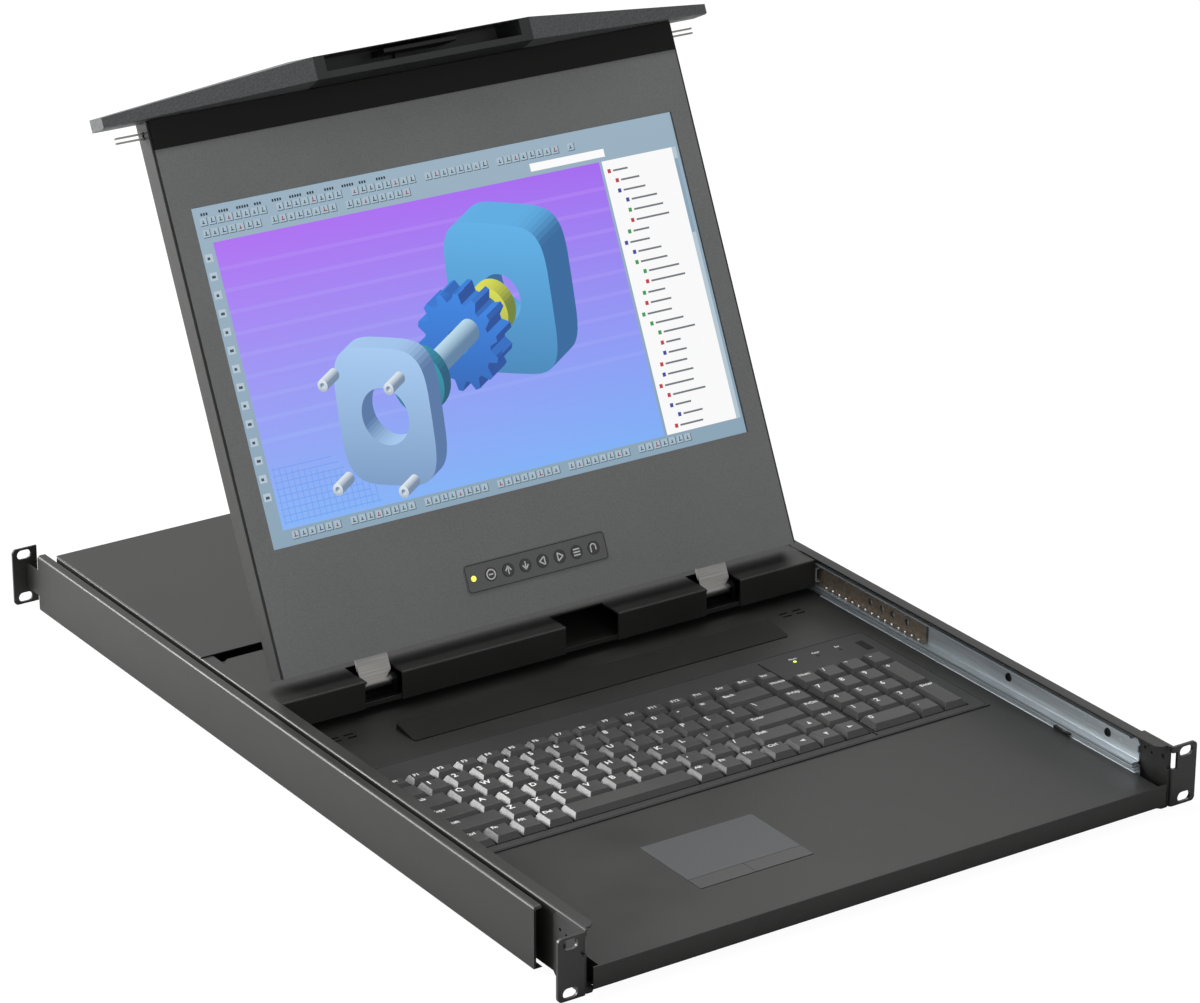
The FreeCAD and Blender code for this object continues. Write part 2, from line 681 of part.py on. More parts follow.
def rail_lever():
    """Plastic release lever lying along the tray's edge: a pivot eye, a waist and a finger tip."""
    inner = TRAY_HALF + MEMBER_SHEET + NEST_GAP - LEVER_LIFT - LEVER_WIDTH
    low = TRAY_TOP + LEVER_LIFT
    y1 = LEVER_PIVOT_Y
    y0 = y1 - LEVER_LENGTH
    points = [(y1, low), (y1, LEVER_PIVOT_Z + LEVER_R), (y1 - 4.0, LEVER_PIVOT_Z + 0.4),
              (y1 - 8.0, low + 0.9), (y0 + 2.5, low + 1.9), (y0, low + 1.9), (y0, low + 0.8),
              (y0 + 3.0, low)]
    corners = [Vector(inner, y, z) for y, z in points]
    body = Part.Face(Part.makePolygon(corners + corners[:1])).extrude(Vector(LEVER_WIDTH, 0, 0))
    eye = Part.makeCylinder(LEVER_R, LEVER_WIDTH, Vector(inner, y1, LEVER_PIVOT_Z),
                            Vector(1, 0, 0))
    return fuse([body, eye])


# ---- monitor carriage ----
PAN_LOW = CARRIAGE_LOW + 0.2
PAN_TOP = PAN_LOW + SHEET
COVER_UNDER = CARRIAGE_TOP - SHEET


def carriage_pan():
    front = CARRIAGE_FRONT + SHEET
    base = box(-CARRIAGE_HALF, CARRIAGE_HALF, front, CARRIAGE_REAR, PAN_LOW, PAN_TOP)
    lip = box(-CARRIAGE_HALF, CARRIAGE_HALF, front, front + SHEET, PAN_LOW, HINGE_GAP_LOW)
    sides = both_sides(box(CARRIAGE_HALF - SHEET, CARRIAGE_HALF, front, CARRIAGE_REAR,
                           PAN_LOW, COVER_UNDER))
    back = box(-CARRIAGE_HALF, CARRIAGE_HALF, CARRIAGE_REAR - SHEET, CARRIAGE_REAR,
               PAN_LOW, COVER_UNDER)
    slots = [box(x, x + 60, CARRIAGE_REAR - 2 * SHEET, CARRIAGE_REAR + 1, 6.0, 15.0)
             for x in (-100, 40)]
    return cut(fuse([base, lip, back] + sides), slots)


def hinge_cover():
    half = CARRIAGE_COVER_HALF
    top = box(-half, half, CARRIAGE_FRONT, CARRIAGE_REAR, COVER_UNDER, CARRIAGE_TOP)
    face = box(-half, half, CARRIAGE_FRONT, CARRIAGE_FRONT + SHEET, CARRIAGE_LOW, CARRIAGE_TOP)
    sheet = fuse([top, face])
    sheet = rounded(sheet, 0, ((CARRIAGE_FRONT, CARRIAGE_TOP),), SHEET * 0.9)
    gaps = [box(s * HINGE_X - HINGE_GAP / 2, s * HINGE_X + HINGE_GAP / 2, CARRIAGE_FRONT - 1,
                HINGE_GAP_BACK, HINGE_GAP_LOW, CARRIAGE_TOP + 1) for s in (-1, 1)]
    lows = [box(s * HINGE_X - HINGE_GAP / 2, s * HINGE_X + HINGE_GAP / 2, CARRIAGE_FRONT - 1,
                CARRIAGE_FRONT + SHEET, CARRIAGE_LOW - 1, HINGE_GAP_LOW) for s in (-1, 1)]
    x0, x1 = CENTRE_GAP
    notch = [box(x0, x1, CARRIAGE_FRONT - 1, CENTRE_GAP_BACK, CARRIAGE_LOW - 1,
                 CARRIAGE_TOP + 1)]
    sheet = cut(sheet, gaps + lows + notch)
    corners = edges_along(sheet, 2, ((half, CARRIAGE_REAR), (-half, CARRIAGE_REAR)))
    return sheet.makeChamfer(COVER_CORNER, corners)


def hinge_base(x):
    width = LEAF_WIDTH + 2 * (HINGE_SIDE_GAP + HINGE_EAR)
    foot = box(x - width / 2, x + width / 2, AXIS_Y - 8, AXIS_Y + 14, PAN_TOP, PAN_TOP + 1.5)
    ears = []
    for x0 in (x - width / 2, x + width / 2 - HINGE_EAR):
        post = box(x0, x0 + HINGE_EAR, AXIS_Y - HINGE_EAR_R, AXIS_Y + HINGE_EAR_R,
                   PAN_TOP, AXIS_Z)
        eye = Part.makeCylinder(HINGE_EAR_R, HINGE_EAR, Vector(x0, AXIS_Y, AXIS_Z),
                                Vector(1, 0, 0))
        ears += [post, eye]
    bore = Part.makeCylinder(PIN_R, width + 2, Vector(x - width / 2 - 1, AXIS_Y, AXIS_Z),
                             Vector(1, 0, 0))
    return fuse([foot] + ears).cut(bore)


def hinge_pin(x):
    length = LEAF_WIDTH + 2 * (HINGE_SIDE_GAP + HINGE_EAR) + 2
    return Part.makeCylinder(PIN_R, length, Vector(x - length / 2, AXIS_Y, AXIS_Z),
                             Vector(1, 0, 0))


def carriage_screws():
    z = PAN_TOP + 1.5
    return [screw_head(s * HINGE_X + dx, AXIS_Y + 10, z, Vector(0, 0, 1), 2.2, 0.9)
            for s in (-1, 1) for dx in (-8, 8)]


# ---- monitor ----
PANEL_BACK = SEAM_OUT - PANEL_THICK
SHELL_FLOOR = SHELL_BACK + SHELL_WALL
SCREEN_TOP = SCREEN_LOW + SCREEN_HEIGHT


def hinge_leaf(x):
    half = LEAF_WIDTH / 2
    barrel = Part.makeCylinder(BARREL_R, LEAF_WIDTH, Vector(x - half, 0, 0), Vector(1, 0, 0))
    plate = panel(x - half, x + half, 0, LEAF_REACH, BARREL_R - LEAF_SHEET, BARREL_R)
    leaf = fuse([barrel, plate])
    notch = []
    for s in (-1, 1):
        corner = panel(-LEAF_CHAMFER, LEAF_CHAMFER, -LEAF_CHAMFER, LEAF_CHAMFER, -8, 8)
        corner.rotate(Vector(0, 0, 0), Vector(0, 0, 1), 45)
        corner.translate(Vector(x + s * (half + LEAF_CHAMFER * 0.6), LEAF_CHAMFER * 0.2, 0))
        notch.append(corner)
    bore = Part.makeCylinder(PIN_R + PIN_RUNNING, LEAF_WIDTH + 2, Vector(x - half - 1, 0, 0),
                             Vector(1, 0, 0))
    return cut(leaf, notch + [bore])


def leaf_slots():
    half = LEAF_WIDTH / 2
    return [panel(s * HINGE_X - half, s * HINGE_X + half, SHELL_LOW - 1, SHELL_LOW + 2 * SHELL_WALL,
                  BARREL_R - LEAF_SHEET, BARREL_R) for s in (-1, 1)]


def stem_slot(up0, up1):
    gap = SLIDE_GAP
    return panel(-STEM_HALF - gap, STEM_HALF + gap, up0, up1, TAB_IN - gap,
                 TAB_IN + STEM_SHEET + gap)


def prong_slots():
    reach = PRONG_PITCH / 2 + PRONG / 2 + 0.4
    half = LATCH_THICK / 2 + 0.4
    hole = panel(SHELL_HALF - 3 * SHELL_WALL, SHELL_HALF + 1, LATCH_UP - reach,
                 LATCH_UP + reach, -half, half)
    return both_sides(hole)


def back_vents():
    width, height = BACK_VENT
    pitch_x, pitch_up = BACK_VENT_PITCH
    slots = []
    for row in range(BACK_VENT_ROWS):
        for x in (BACK_VENT_X, BACK_VENT_X - pitch_x):
            up = BACK_VENT_UP + row * pitch_up
            slots += both_sides(panel(x - width, x, up, up + height, SHELL_BACK - 1,
                                      SHELL_FLOOR + 1))
    return slots


def monitor_shell():
    walls = SHELL_WALL
    outer = panel(-SHELL_HALF, SHELL_HALF, SHELL_LOW, SHELL_TOP, SHELL_BACK, SIDE_OUT)
    places = ((SHELL_HALF, SHELL_BACK), (-SHELL_HALF, SHELL_BACK))
    outer = rounded(outer, 1, places, walls * 1.4)
    hollow = panel(-SHELL_HALF + walls, SHELL_HALF - walls, SHELL_LOW + walls,
                   SHELL_TOP - walls, SHELL_FLOOR, SIDE_OUT + 1)
    ends = panel(-SHELL_HALF + walls, SHELL_HALF - walls, SHELL_LOW - 1, SHELL_TOP + 1,
                 SEAM_OUT, SIDE_OUT + 1)
    post_x, post_up = POST_INSET
    posts = [panel(x - PANEL_POST / 2, x + PANEL_POST / 2, up - PANEL_POST / 2,
                   up + PANEL_POST / 2, SHELL_FLOOR, PANEL_BACK)
             for x in (post_x - SCREEN_WIDTH / 2, SCREEN_WIDTH / 2 - post_x)
             for up in (SCREEN_LOW + post_up, SCREEN_TOP - post_up)]
    bosses = [panel(s * HINGE_X - LEAF_WIDTH / 2, s * HINGE_X + LEAF_WIDTH / 2,
                    SHELL_LOW + walls, LEAF_REACH, SHELL_FLOOR, BARREL_R - LEAF_SHEET)
              for s in (-1, 1)]
    shell = fuse([cut(outer, [hollow, ends])] + posts + bosses)
    tools = leaf_slots() + prong_slots() + back_vents()
    return cut(shell, tools + [stem_slot(SHELL_TOP - 2 * walls, SHELL_TOP + 1)])


def osd_centres():
    return [OSD_FIRST + i * OSD_PITCH for i in range(len(OSD_NAMES))]


def osd_pegs(radius, out0, out1):
    return [peg(radius, out1 - out0, Vector(x, OSD_UP, out0), sides=16) for x in osd_centres()]


def monitor_bezel():
    plate = panel(-BEZEL_HALF, BEZEL_HALF, SHELL_LOW, STRIP_LOW, SEAM_OUT, BEZEL_FACE)
    half = SCREEN_WIDTH / 2
    window = panel(-half, half, SCREEN_LOW, SCREEN_TOP, SEAM_OUT - 1, BEZEL_FACE + 1)
    reach = OSD_R + 2 * OSD_GAP
    pocket = panel(osd_centres()[0] - reach, osd_centres()[-1] + reach, OSD_UP - reach,
                   OSD_UP + reach, BEZEL_FACE - OSD_POCKET, BEZEL_FACE + 1)
    return cut(plate, [window, pocket])


def lcd_panel():
    half = SCREEN_WIDTH / 2 + PANEL_MARGIN
    return panel(-half, half, SCREEN_LOW - PANEL_MARGIN, SCREEN_TOP + PANEL_MARGIN,
                 PANEL_BACK, SEAM_OUT)


def top_strip():
    return panel(-STRIP_HALF, STRIP_HALF, STRIP_LOW, SHELL_TOP - STRIP_TOP_GAP, SEAM_OUT,
                 STRIP_FACE)


def driver_board():
    low = SHELL_FLOOR + BOARD_LIFT
    high = low + BOARD_THICK
    half = BOARD_WIDTH / 2
    board = panel(-half, half, BOARD_LOW, BOARD_LOW + BOARD_HEIGHT, low, high)
    posts = [panel(x, x + STANDOFF, up, up + STANDOFF, SHELL_FLOOR, low)
             for x in (-half, half - STANDOFF)
             for up in (BOARD_LOW, BOARD_LOW + BOARD_HEIGHT - STANDOFF)]
    chips = [panel(x, x + side, BOARD_LOW + up, BOARD_LOW + up + side, high, high + CHIP_THICK)
             for x, up, side in CHIPS]
    return fuse([board] + posts + chips)


def osd_plate():
    low, high = OSD_UP - OSD_HEIGHT / 2, OSD_UP + OSD_HEIGHT / 2
    plate = panel(-OSD_HALF, OSD_HALF, low, high, BEZEL_FACE, BEZEL_FACE + OSD_THICK)
    places = [(x, up) for x in (-OSD_HALF, OSD_HALF) for up in (low, high)]
    plate = rounded(plate, 2, places, OSD_CORNER)
    led = peg(LED_R, 2, Vector(LED_X, OSD_UP, BEZEL_FACE - 1))
    return cut(plate, osd_pegs(OSD_R + OSD_GAP, BEZEL_FACE - 1, BEZEL_FACE + 1) + [led])


def osd_buttons():
    top = BEZEL_FACE + OSD_PROUD
    return osd_pegs(OSD_R, top - OSD_BODY, top)


def monitor_led():
    return peg(LED_R, LED_PROUD, Vector(LED_X, OSD_UP, BEZEL_FACE))


def grip_section(x, front, top_front):
    """Corners of the handle's section; its slopes stay the same all the way to the tips."""
    low_slope = (GRIP_LOW_FRONT - SHELL_TOP) / (GRIP_OUT - SEAM_OUT)
    top_slope = (GRIP_TOP_BACK - GRIP_TOP_FRONT) / (GRIP_OUT - SHELL_BACK)
    points = [(SHELL_TOP, SHELL_BACK), (SHELL_TOP, SEAM_OUT),
              (SHELL_TOP + low_slope * (front - SEAM_OUT), front), (top_front, front),
              (top_front + top_slope * (front - SHELL_BACK), SHELL_BACK)]
    return [Vector(x, up, out) for up, out in points]


def handle_wing():
    """Textured end of the handle, tapering from the smooth middle part to its tip."""
    return frustum(grip_section(GRIP_SHOULDER, GRIP_OUT, GRIP_TOP_FRONT),
                   grip_section(GRIP_TIP, GRIP_TIP_OUT, TIP_TOP_FRONT))


def handle():
    """Smooth middle part of the handle, with the finger recess around the squeeze tab."""
    middle = frustum(*[grip_section(x, GRIP_OUT, GRIP_TOP_FRONT)
                       for x in (-GRIP_SHOULDER, GRIP_SHOULDER)])
    corners = [Vector(x, POCKET_LOW, out) for x, out in
               ((-POCKET_HALF, GRIP_OUT + 1), (POCKET_HALF, GRIP_OUT + 1),
                (POCKET_FLOOR_HALF, POCKET_FLOOR), (-POCKET_FLOOR_HALF, POCKET_FLOOR))]
    recess = Part.Face(Part.makePolygon(corners + corners[:1])).extrude(
        Vector(0, POCKET_HIGH - POCKET_LOW, 0))
    return cut(middle, [recess, stem_slot(SHELL_TOP - 1, POCKET_LOW + 1)])


def release_tab():
    tab = panel(-TAB_HALF, TAB_HALF, TAB_LOW, TAB_LOW + TAB_THICK, TAB_IN, TAB_OUT)
    stem = panel(-STEM_HALF, STEM_HALF, STEM_LOW, TAB_LOW, TAB_IN, TAB_IN + STEM_SHEET)
    tab = fuse([tab, stem])
    return rounded(tab, 0, ((TAB_LOW, TAB_OUT), (TAB_LOW + TAB_THICK, TAB_OUT)), 1.2)


def latch_bar():
    half = LATCH_THICK / 2
    bar = panel(LATCH_IN, LATCH_ROOT, LATCH_UP - LATCH_BAR / 2, LATCH_UP + LATCH_BAR / 2,
                -half, half)
    prongs = [panel(LATCH_ROOT - 3, LATCH_TIP, LATCH_UP + s * PRONG_PITCH / 2 - PRONG / 2,
                    LATCH_UP + s * PRONG_PITCH / 2 + PRONG / 2, -half, half) for s in (-1, 1)]
    return fuse([bar] + prongs)


def monitor_screws():
    low, high = BACK_SCREW_UP
    heads = []
    for x in (SHELL_HALF - BACK_SCREW_INSET, BACK_SCREW_X):
        for up in (SHELL_LOW + low, SHELL_TOP - high):
            heads += both_sides(screw_head(x, up, SHELL_BACK, Vector(0, 0, -1), 2.6, 0.7))
    return heads


# ---- keyboard tray ----
def keyboard_opening(clear):
    inset = BEZEL_LIP + clear
    return (BEZEL_LEFT + inset, BEZEL_RIGHT - inset, BEZEL_FRONT + inset, BEZEL_REAR - inset)


def tray_pan():
    top = box(-TRAY_HALF, TRAY_HALF, LIP_FRONT + SHEET, TRAY_REAR, TRAY_TOP - SHEET, TRAY_TOP)
    sides = both_sides(box(TRAY_HALF - SHEET, TRAY_HALF, LIP_FRONT + SHEET, TRAY_REAR,
                           TRAY_LOW, TRAY_TOP))
    back = box(-TRAY_HALF, TRAY_HALF, TRAY_REAR - SHEET, TRAY_REAR, TRAY_LOW, TRAY_TOP)
    lip = box(-LIP_HALF, LIP_HALF, LIP_FRONT, LIP_FRONT + SHEET, LIP_LOW, LIP_TOP)
    lip = rounded(lip, 0, ((LIP_FRONT, LIP_TOP),), SHEET * 0.5)
    pan = fuse([top, lip, back] + sides)
    x0, x1, y0, y1 = keyboard_opening(0)
    low, high = TRAY_TOP - SHEET - 1, TRAY_TOP + 1
    gap = TOUCH_GAP
    tools = [box(x0, x1, y0, y1, low, high),
             box(TOUCH_LEFT - gap, TOUCH_RIGHT + gap, TOUCH_FRONT - gap, TOUCH_REAR + gap,
                 low, high)]
    length, width = VENT_SLOT
    for column in range(2):
        for row in range(2):
            x = TRAY_HALF - VENT_INSET[0] - column * VENT_PITCH[0]
            y = TRAY_REAR - VENT_INSET[1] - row * VENT_PITCH[1]
            tools += both_sides(box(x - length / 2, x + length / 2, y - width / 2, y + width / 2,
                                    low, high))
    return cut(pan, tools)


def tray_base():
    edge = TRAY_HALF - SHEET
    return box(-edge, edge, LIP_FRONT + SHEET, TRAY_REAR - SHEET, TRAY_LOW,
               TRAY_LOW + TRAY_BASE)


def rest_pad():
    """Low wedge of rubber that the folded monitor comes down over."""
    x0, x1 = PAD_SPAN
    points = [Vector(x0, PAD_FRONT, TRAY_TOP), Vector(x0, PAD_BACK, TRAY_TOP),
              Vector(x0, PAD_BACK, TRAY_TOP + PAD_RISE),
              Vector(x0, PAD_FRONT, TRAY_TOP + PAD_TOE)]
    wedge = Part.Face(Part.makePolygon(points + points[:1])).extrude(Vector(x1 - x0, 0, 0))
    places = ((x0, PAD_FRONT), (x1, PAD_FRONT), (x0, PAD_BACK), (x1, PAD_BACK))
    return rounded(wedge, 2, places, 2.0)


def key_cap(x0, y0, width, depth):
    """Tapered cap on a footprint of the given size, a little smaller than its cell."""
    g = KEY_GAP / 2
    foot = (x0 + g, x0 + width - g, y0 + g, y0 + depth - g)
    t = KEY_TAPER
    head = (foot[0] + t, foot[1] - t, foot[2] + t * 1.3, foot[3] - t * 0.7)
    return frustum(*[[Vector(a, c, z), Vector(b, c, z), Vector(b, d, z), Vector(a, d, z)]
                     for (a, b, c, d), z in ((foot, KEY_LOW), (head, KEY_TOP))])


# widths of the keys of each row in key units, from the left; a row fills the same length
KEY_ROWS = (
    ("space_row_keys", [1, 1, 1, 1, 5, 1, 1, 1, 1, 1, 1, 1]),
    ("lower_letter_keys", [2.25] + [1] * 10 + [1.75, 1, 1]),
    ("home_letter_keys", [1.75] + [1] * 11 + [2.25, 1]),
    ("upper_letter_keys", [1.5] + [1] * 12 + [1.5, 1]),
    ("number_keys", [1] * 13 + [2, 1]),
)
MAIN_WIDTH = sum(KEY_ROWS[0][1]) * KEY
# keypad keys: column, row from the front, width and depth in key units
KEYPAD = ((0, 0, 2, 1), (2, 0, 1, 1), (3, 0, 1, 2), (0, 1, 1, 1), (1, 1, 1, 1), (2, 1, 1, 1),
          (0, 2, 1, 1), (1, 2, 1, 1), (2, 2, 1, 1), (3, 2, 1, 2), (0, 3, 1, 1), (1, 3, 1, 1),
          (2, 3, 1, 1), (0, 4, 1, 1), (1, 4, 1, 1), (2, 4, 1, 1), (3, 4, 1, 1))
KEYPAD_COLUMNS = 4


def key_row(widths, y0):
    caps = []
    x = KEYS_LEFT
    for width in widths:
        caps.append(key_cap(x, y0, width * KEY, KEY))
        x += width * KEY
    return caps


def function_keys():
    pitch = MAIN_WIDTH / FUNCTION_COUNT
    return [key_cap(KEYS_LEFT + i * pitch, FUNCTION_FRONT, pitch, FUNCTION_DEPTH)
            for i in range(FUNCTION_COUNT)]


def keypad_keys():
    return [key_cap(KEYPAD_LEFT + column * KEY, KEYS_FRONT + row * KEY, width * KEY,
                    depth * KEY) for column, row, width, depth in KEYPAD]


def key_wells():
    """Openings in the keyboard frame for the main block, the function row and the keypad."""
    w = KEY_WELL
    rows = len(KEY_ROWS)
    top, low = TRAY_TOP + BEZEL_SHEET + 1, BASE_TOP - 1
    right = KEYS_LEFT + MAIN_WIDTH
    main = box(KEYS_LEFT - w, right + w, KEYS_FRONT - w, FUNCTION_FRONT + FUNCTION_DEPTH + w,
               low, top)
    pad = box(KEYPAD_LEFT - w, KEYPAD_LEFT + KEYPAD_COLUMNS * KEY + w, KEYS_FRONT - w,
              KEYS_FRONT + rows * KEY + w, low, top)
    return [main, pad]


def keyboard_bezel():
    plate = box(BEZEL_LEFT, BEZEL_RIGHT, BEZEL_FRONT, BEZEL_REAR, TRAY_TOP,
                TRAY_TOP + BEZEL_SHEET)
    x0, x1, y0, y1 = keyboard_opening(BEZEL_FIT)
    skirt = box(x0, x1, y0, y1, BASE_TOP, TRAY_TOP)
    hollow = box(x0 + SKIRT, x1 - SKIRT, y0 + SKIRT, y1 - SKIRT, BASE_TOP - 1,
                 TRAY_TOP - SKIRT)
    frame = fuse([plate, skirt.cut(hollow)])
    right = KEYS_LEFT + MAIN_WIDTH
    groove_x = (right + KEYPAD_LEFT) / 2
    groove = box(groove_x - 0.8, groove_x + 0.8, BEZEL_FRONT + 3, BEZEL_REAR - 6,
                 TRAY_TOP + 0.2, TRAY_TOP + BEZEL_SHEET + 1)
    return cut(frame, key_wells() + [groove])


def keyboard_base():
    x0, x1, y0, y1 = keyboard_opening(BEZEL_FIT)
    return box(x0, x1, y0, y1, BASE_TOP - BASE_THICK, BASE_TOP)


def keyboard_leds():
    top = TRAY_TOP + BEZEL_SHEET
    return [peg(KEYBOARD_LED_R, KEYBOARD_LED_PROUD, Vector(x, y, top)) for x, y in KEYBOARD_LEDS]


def touchpad():
    split = TOUCH_FRONT + TOUCH_KEYS
    under = TRAY_TOP - SHEET
    slab = box(TOUCH_LEFT, TOUCH_RIGHT, split, TOUCH_REAR, under, TOUCH_FACE)
    rim = TOUCH_RIM
    base = box(TOUCH_LEFT - rim, TOUCH_RIGHT + rim, TOUCH_FRONT - rim, TOUCH_REAR + rim,
               under - TOUCH_BASE, under)
    room = box(TOUCH_LEFT - 1, TOUCH_RIGHT + 1, TOUCH_FRONT - 1, split, under - TOUCH_TRAVEL_ROOM,
               under + 1)
    return fuse([slab, base]).cut(room)


def touch_button(x0, x1):
    return box(x0, x1, TOUCH_FRONT, TOUCH_FRONT + TOUCH_KEYS - TOUCH_GAP, TRAY_TOP - SHEET,
               TOUCH_FACE)


# ---- write every sub-part ----
save("chassis_side_right", [chassis_side()])
save("chassis_side_left", [mirrored(chassis_side())])
save("chassis_floor", [chassis_floor()])
save("rear_cover", [rear_cover()])
save("rear_panel", [rear_panel()])
save("rear_ports", rear_ports())
save("front_ears", both_sides(front_ear()))
save("chassis_screws", chassis_screws())
save("bracket_guides", bracket_guides())
save("rear_bracket_right", [rear_bracket(SHORT_BRACKET_FRONT)])
save("rear_bracket_left", [mirrored(rear_bracket(BRACKET_FRONT))])
save("monitor_rail_outers", both_sides(upper_rail()))
save("keyboard_rail_outers", both_sides(fixed_rail(LOWER_Z, LOWER_HEIGHT, LOWER_REAR)))
save("ball_cages", both_sides(ball_cage()) + balls() + [mirrored(ball) for ball in balls()])
save("keyboard_rail_middles", both_sides(lower_middle_rail()))
save("keyboard_rail_inners", both_sides(tray_rail()))
save("rail_levers", both_sides(rail_lever()))
save("monitor_rail_inners", both_sides(carriage_rail()))
save("carriage_pan", [carriage_pan()])
save("hinge_cover", [hinge_cover()])
save("hinge_bases", [hinge_base(-HINGE_X), hinge_base(HINGE_X)])
save("hinge_pins", [hinge_pin(-HINGE_X), hinge_pin(HINGE_X)])
save("carriage_screws", carriage_screws())
save_opened("hinge_leaves", [hinge_leaf(-HINGE_X), hinge_leaf(HINGE_X)])
save_opened("monitor_shell", [monitor_shell()])
save_opened("monitor_bezel", [monitor_bezel()])
save_opened("lcd_panel", [lcd_panel()])
save_opened("top_strip", [top_strip()])
save_opened("driver_board", [driver_board()])
save_opened("osd_plate", [osd_plate()])
save_opened("monitor_led", [monitor_led()])
for name, button in zip(OSD_NAMES, osd_buttons()):
    save_opened("osd_" + name + "_button", [button])
save_opened("handle", [handle()])
save_opened("handle_wings", both_sides(handle_wing()))
save_opened("release_tab", [release_tab()])
save_opened("latch_bar_right", [latch_bar()])
save_opened("latch_bar_left", [mirrored(latch_bar())])
save_opened("monitor_screws", monitor_screws())
save("tray_pan", [tray_pan()])
save("tray_base", [tray_base()])
save("rest_pad", [rest_pad()])
save("keyboard_bezel", [keyboard_bezel()])
save("keyboard_base", [keyboard_base()])
save("keyboard_leds", keyboard_leds())
save("function_keys", function_keys())
for row, (name, widths) in enumerate(KEY_ROWS):
    save(name, key_row(widths, KEYS_FRONT + row * KEY))
save("keypad_keys", keypad_keys())
save("touchpad", [touchpad()])
save("touch_button_left", [touch_button(TOUCH_LEFT, TOUCH_SPLIT - TOUCH_GAP)])
save("touch_button_right", [touch_button(TOUCH_SPLIT, TOUCH_RIGHT)])
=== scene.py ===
"""Finishes, key caps, bearing balls, lettering, screen picture and studio for a rackmount
console drawer."""
import json
import math

import bpy
from mathutils import Matrix, Vector


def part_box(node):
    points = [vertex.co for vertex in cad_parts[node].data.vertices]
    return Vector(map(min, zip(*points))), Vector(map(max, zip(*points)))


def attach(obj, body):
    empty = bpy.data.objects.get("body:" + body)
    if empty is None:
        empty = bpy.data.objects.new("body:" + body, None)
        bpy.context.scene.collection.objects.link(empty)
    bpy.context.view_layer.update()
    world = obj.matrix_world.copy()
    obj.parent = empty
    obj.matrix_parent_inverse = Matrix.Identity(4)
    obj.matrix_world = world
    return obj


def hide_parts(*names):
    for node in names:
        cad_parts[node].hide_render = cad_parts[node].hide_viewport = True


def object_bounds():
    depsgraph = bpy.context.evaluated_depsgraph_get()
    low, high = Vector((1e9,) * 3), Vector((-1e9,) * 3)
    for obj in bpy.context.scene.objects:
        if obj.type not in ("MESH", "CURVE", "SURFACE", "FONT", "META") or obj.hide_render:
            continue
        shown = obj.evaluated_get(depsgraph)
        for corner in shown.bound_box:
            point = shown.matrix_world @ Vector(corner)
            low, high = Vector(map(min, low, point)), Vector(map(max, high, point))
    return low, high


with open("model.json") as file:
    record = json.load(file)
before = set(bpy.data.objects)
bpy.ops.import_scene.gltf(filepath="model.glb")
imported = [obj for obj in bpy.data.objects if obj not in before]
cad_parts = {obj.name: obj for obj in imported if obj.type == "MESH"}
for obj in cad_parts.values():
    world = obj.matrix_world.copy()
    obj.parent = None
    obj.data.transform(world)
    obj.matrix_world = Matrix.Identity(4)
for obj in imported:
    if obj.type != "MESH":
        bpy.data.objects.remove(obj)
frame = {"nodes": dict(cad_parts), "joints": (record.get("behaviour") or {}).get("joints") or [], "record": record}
cad_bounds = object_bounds()

MM = 0.001
NODES = frame["nodes"]
JOINTS = {joint["name"]: joint for joint in frame["joints"]}

# ---- the monitor's own frame: x across, y up along the panel, z out of the screen ----
HINGE = JOINTS["monitor_hinge"]
# the hinge's upper limit lays the panel face down on the drawer
OPEN_ANGLE = math.radians(180 - max(HINGE["range_deg"]))
PANEL = Matrix.Translation(Vector(HINGE["pos_m"])) @ Matrix.Rotation(OPEN_ANGLE, 4, "X")
FLAT = Matrix.Identity(4)

# ---- key rows: caption of each key and its width in key units, from the left ----
KEY_UNIT = 19.05 * MM
KEY_GAP = 0.9 * MM
KEY_ROWS = {
    "function_keys": ["Esc", "F1", "F2", "F3", "F4", "F5", "F6", "F7", "F8", "F9", "F10",
                      "F11", "F12", "Prt", "Scr", "Brk", "Ins"],
    "number_keys": ["`", "1", "2", "3", "4", "5", "6", "7", "8", "9", "0", "-", "=",
                    ("Back", 2), "Home"],
    "upper_letter_keys": [("Tab", 1.5)] + list("QWERTYUIOP[]") + [("\\", 1.5), "PgUp"],
    "home_letter_keys": [("Caps", 1.75)] + list("ASDFGHJKL;'") + [("Enter", 2.25), "PgDn"],
    "lower_letter_keys": [("Shift", 2.25)] + list("ZXCVBNM,./") + [("Shift", 1.75), "^", "End"],
    "space_row_keys": ["Ctrl", "Fn", "Alt", "Del", ("", 5), "Alt", "Fn", "Mn", "Ctrl",
                       "<", "v", ">"],
}
# keypad: caption, column, row from the front, width and depth in key units
KEYPAD = (("0", 0, 0, 2, 1), (".", 2, 0, 1, 1), ("Enter", 3, 0, 1, 2), ("1", 0, 1, 1, 1),
          ("2", 1, 1, 1, 1), ("3", 2, 1, 1, 1), ("4", 0, 2, 1, 1), ("5", 1, 2, 1, 1),
          ("6", 2, 2, 1, 1), ("+", 3, 2, 1, 2), ("7", 0, 3, 1, 1), ("8", 1, 3, 1, 1),
          ("9", 2, 3, 1, 1), ("Num", 0, 4, 1, 1), ("/", 1, 4, 1, 1), ("*", 2, 4, 1, 1),
          ("-", 3, 4, 1, 1))


# ---- small tools ----
def linear(code):
    """sRGB hex colour as the linear colour that the shaders take."""
    channels = [int(code[i:i + 2], 16) / 255 for i in (1, 3, 5)]
    return tuple(c / 12.92 if c <= 0.04045 else ((c + 0.055) / 1.055) ** 2.4
                 for c in channels) + (1.0,)


def feed(tree, node, inputs):
    """Gives each input its plain value, or a link where the value is another node's socket."""
    for name, value in inputs.items():
        if isinstance(value, bpy.types.NodeSocket):
            tree.links.new(value, node.inputs[name])
        else:
            node.inputs[name].default_value = value


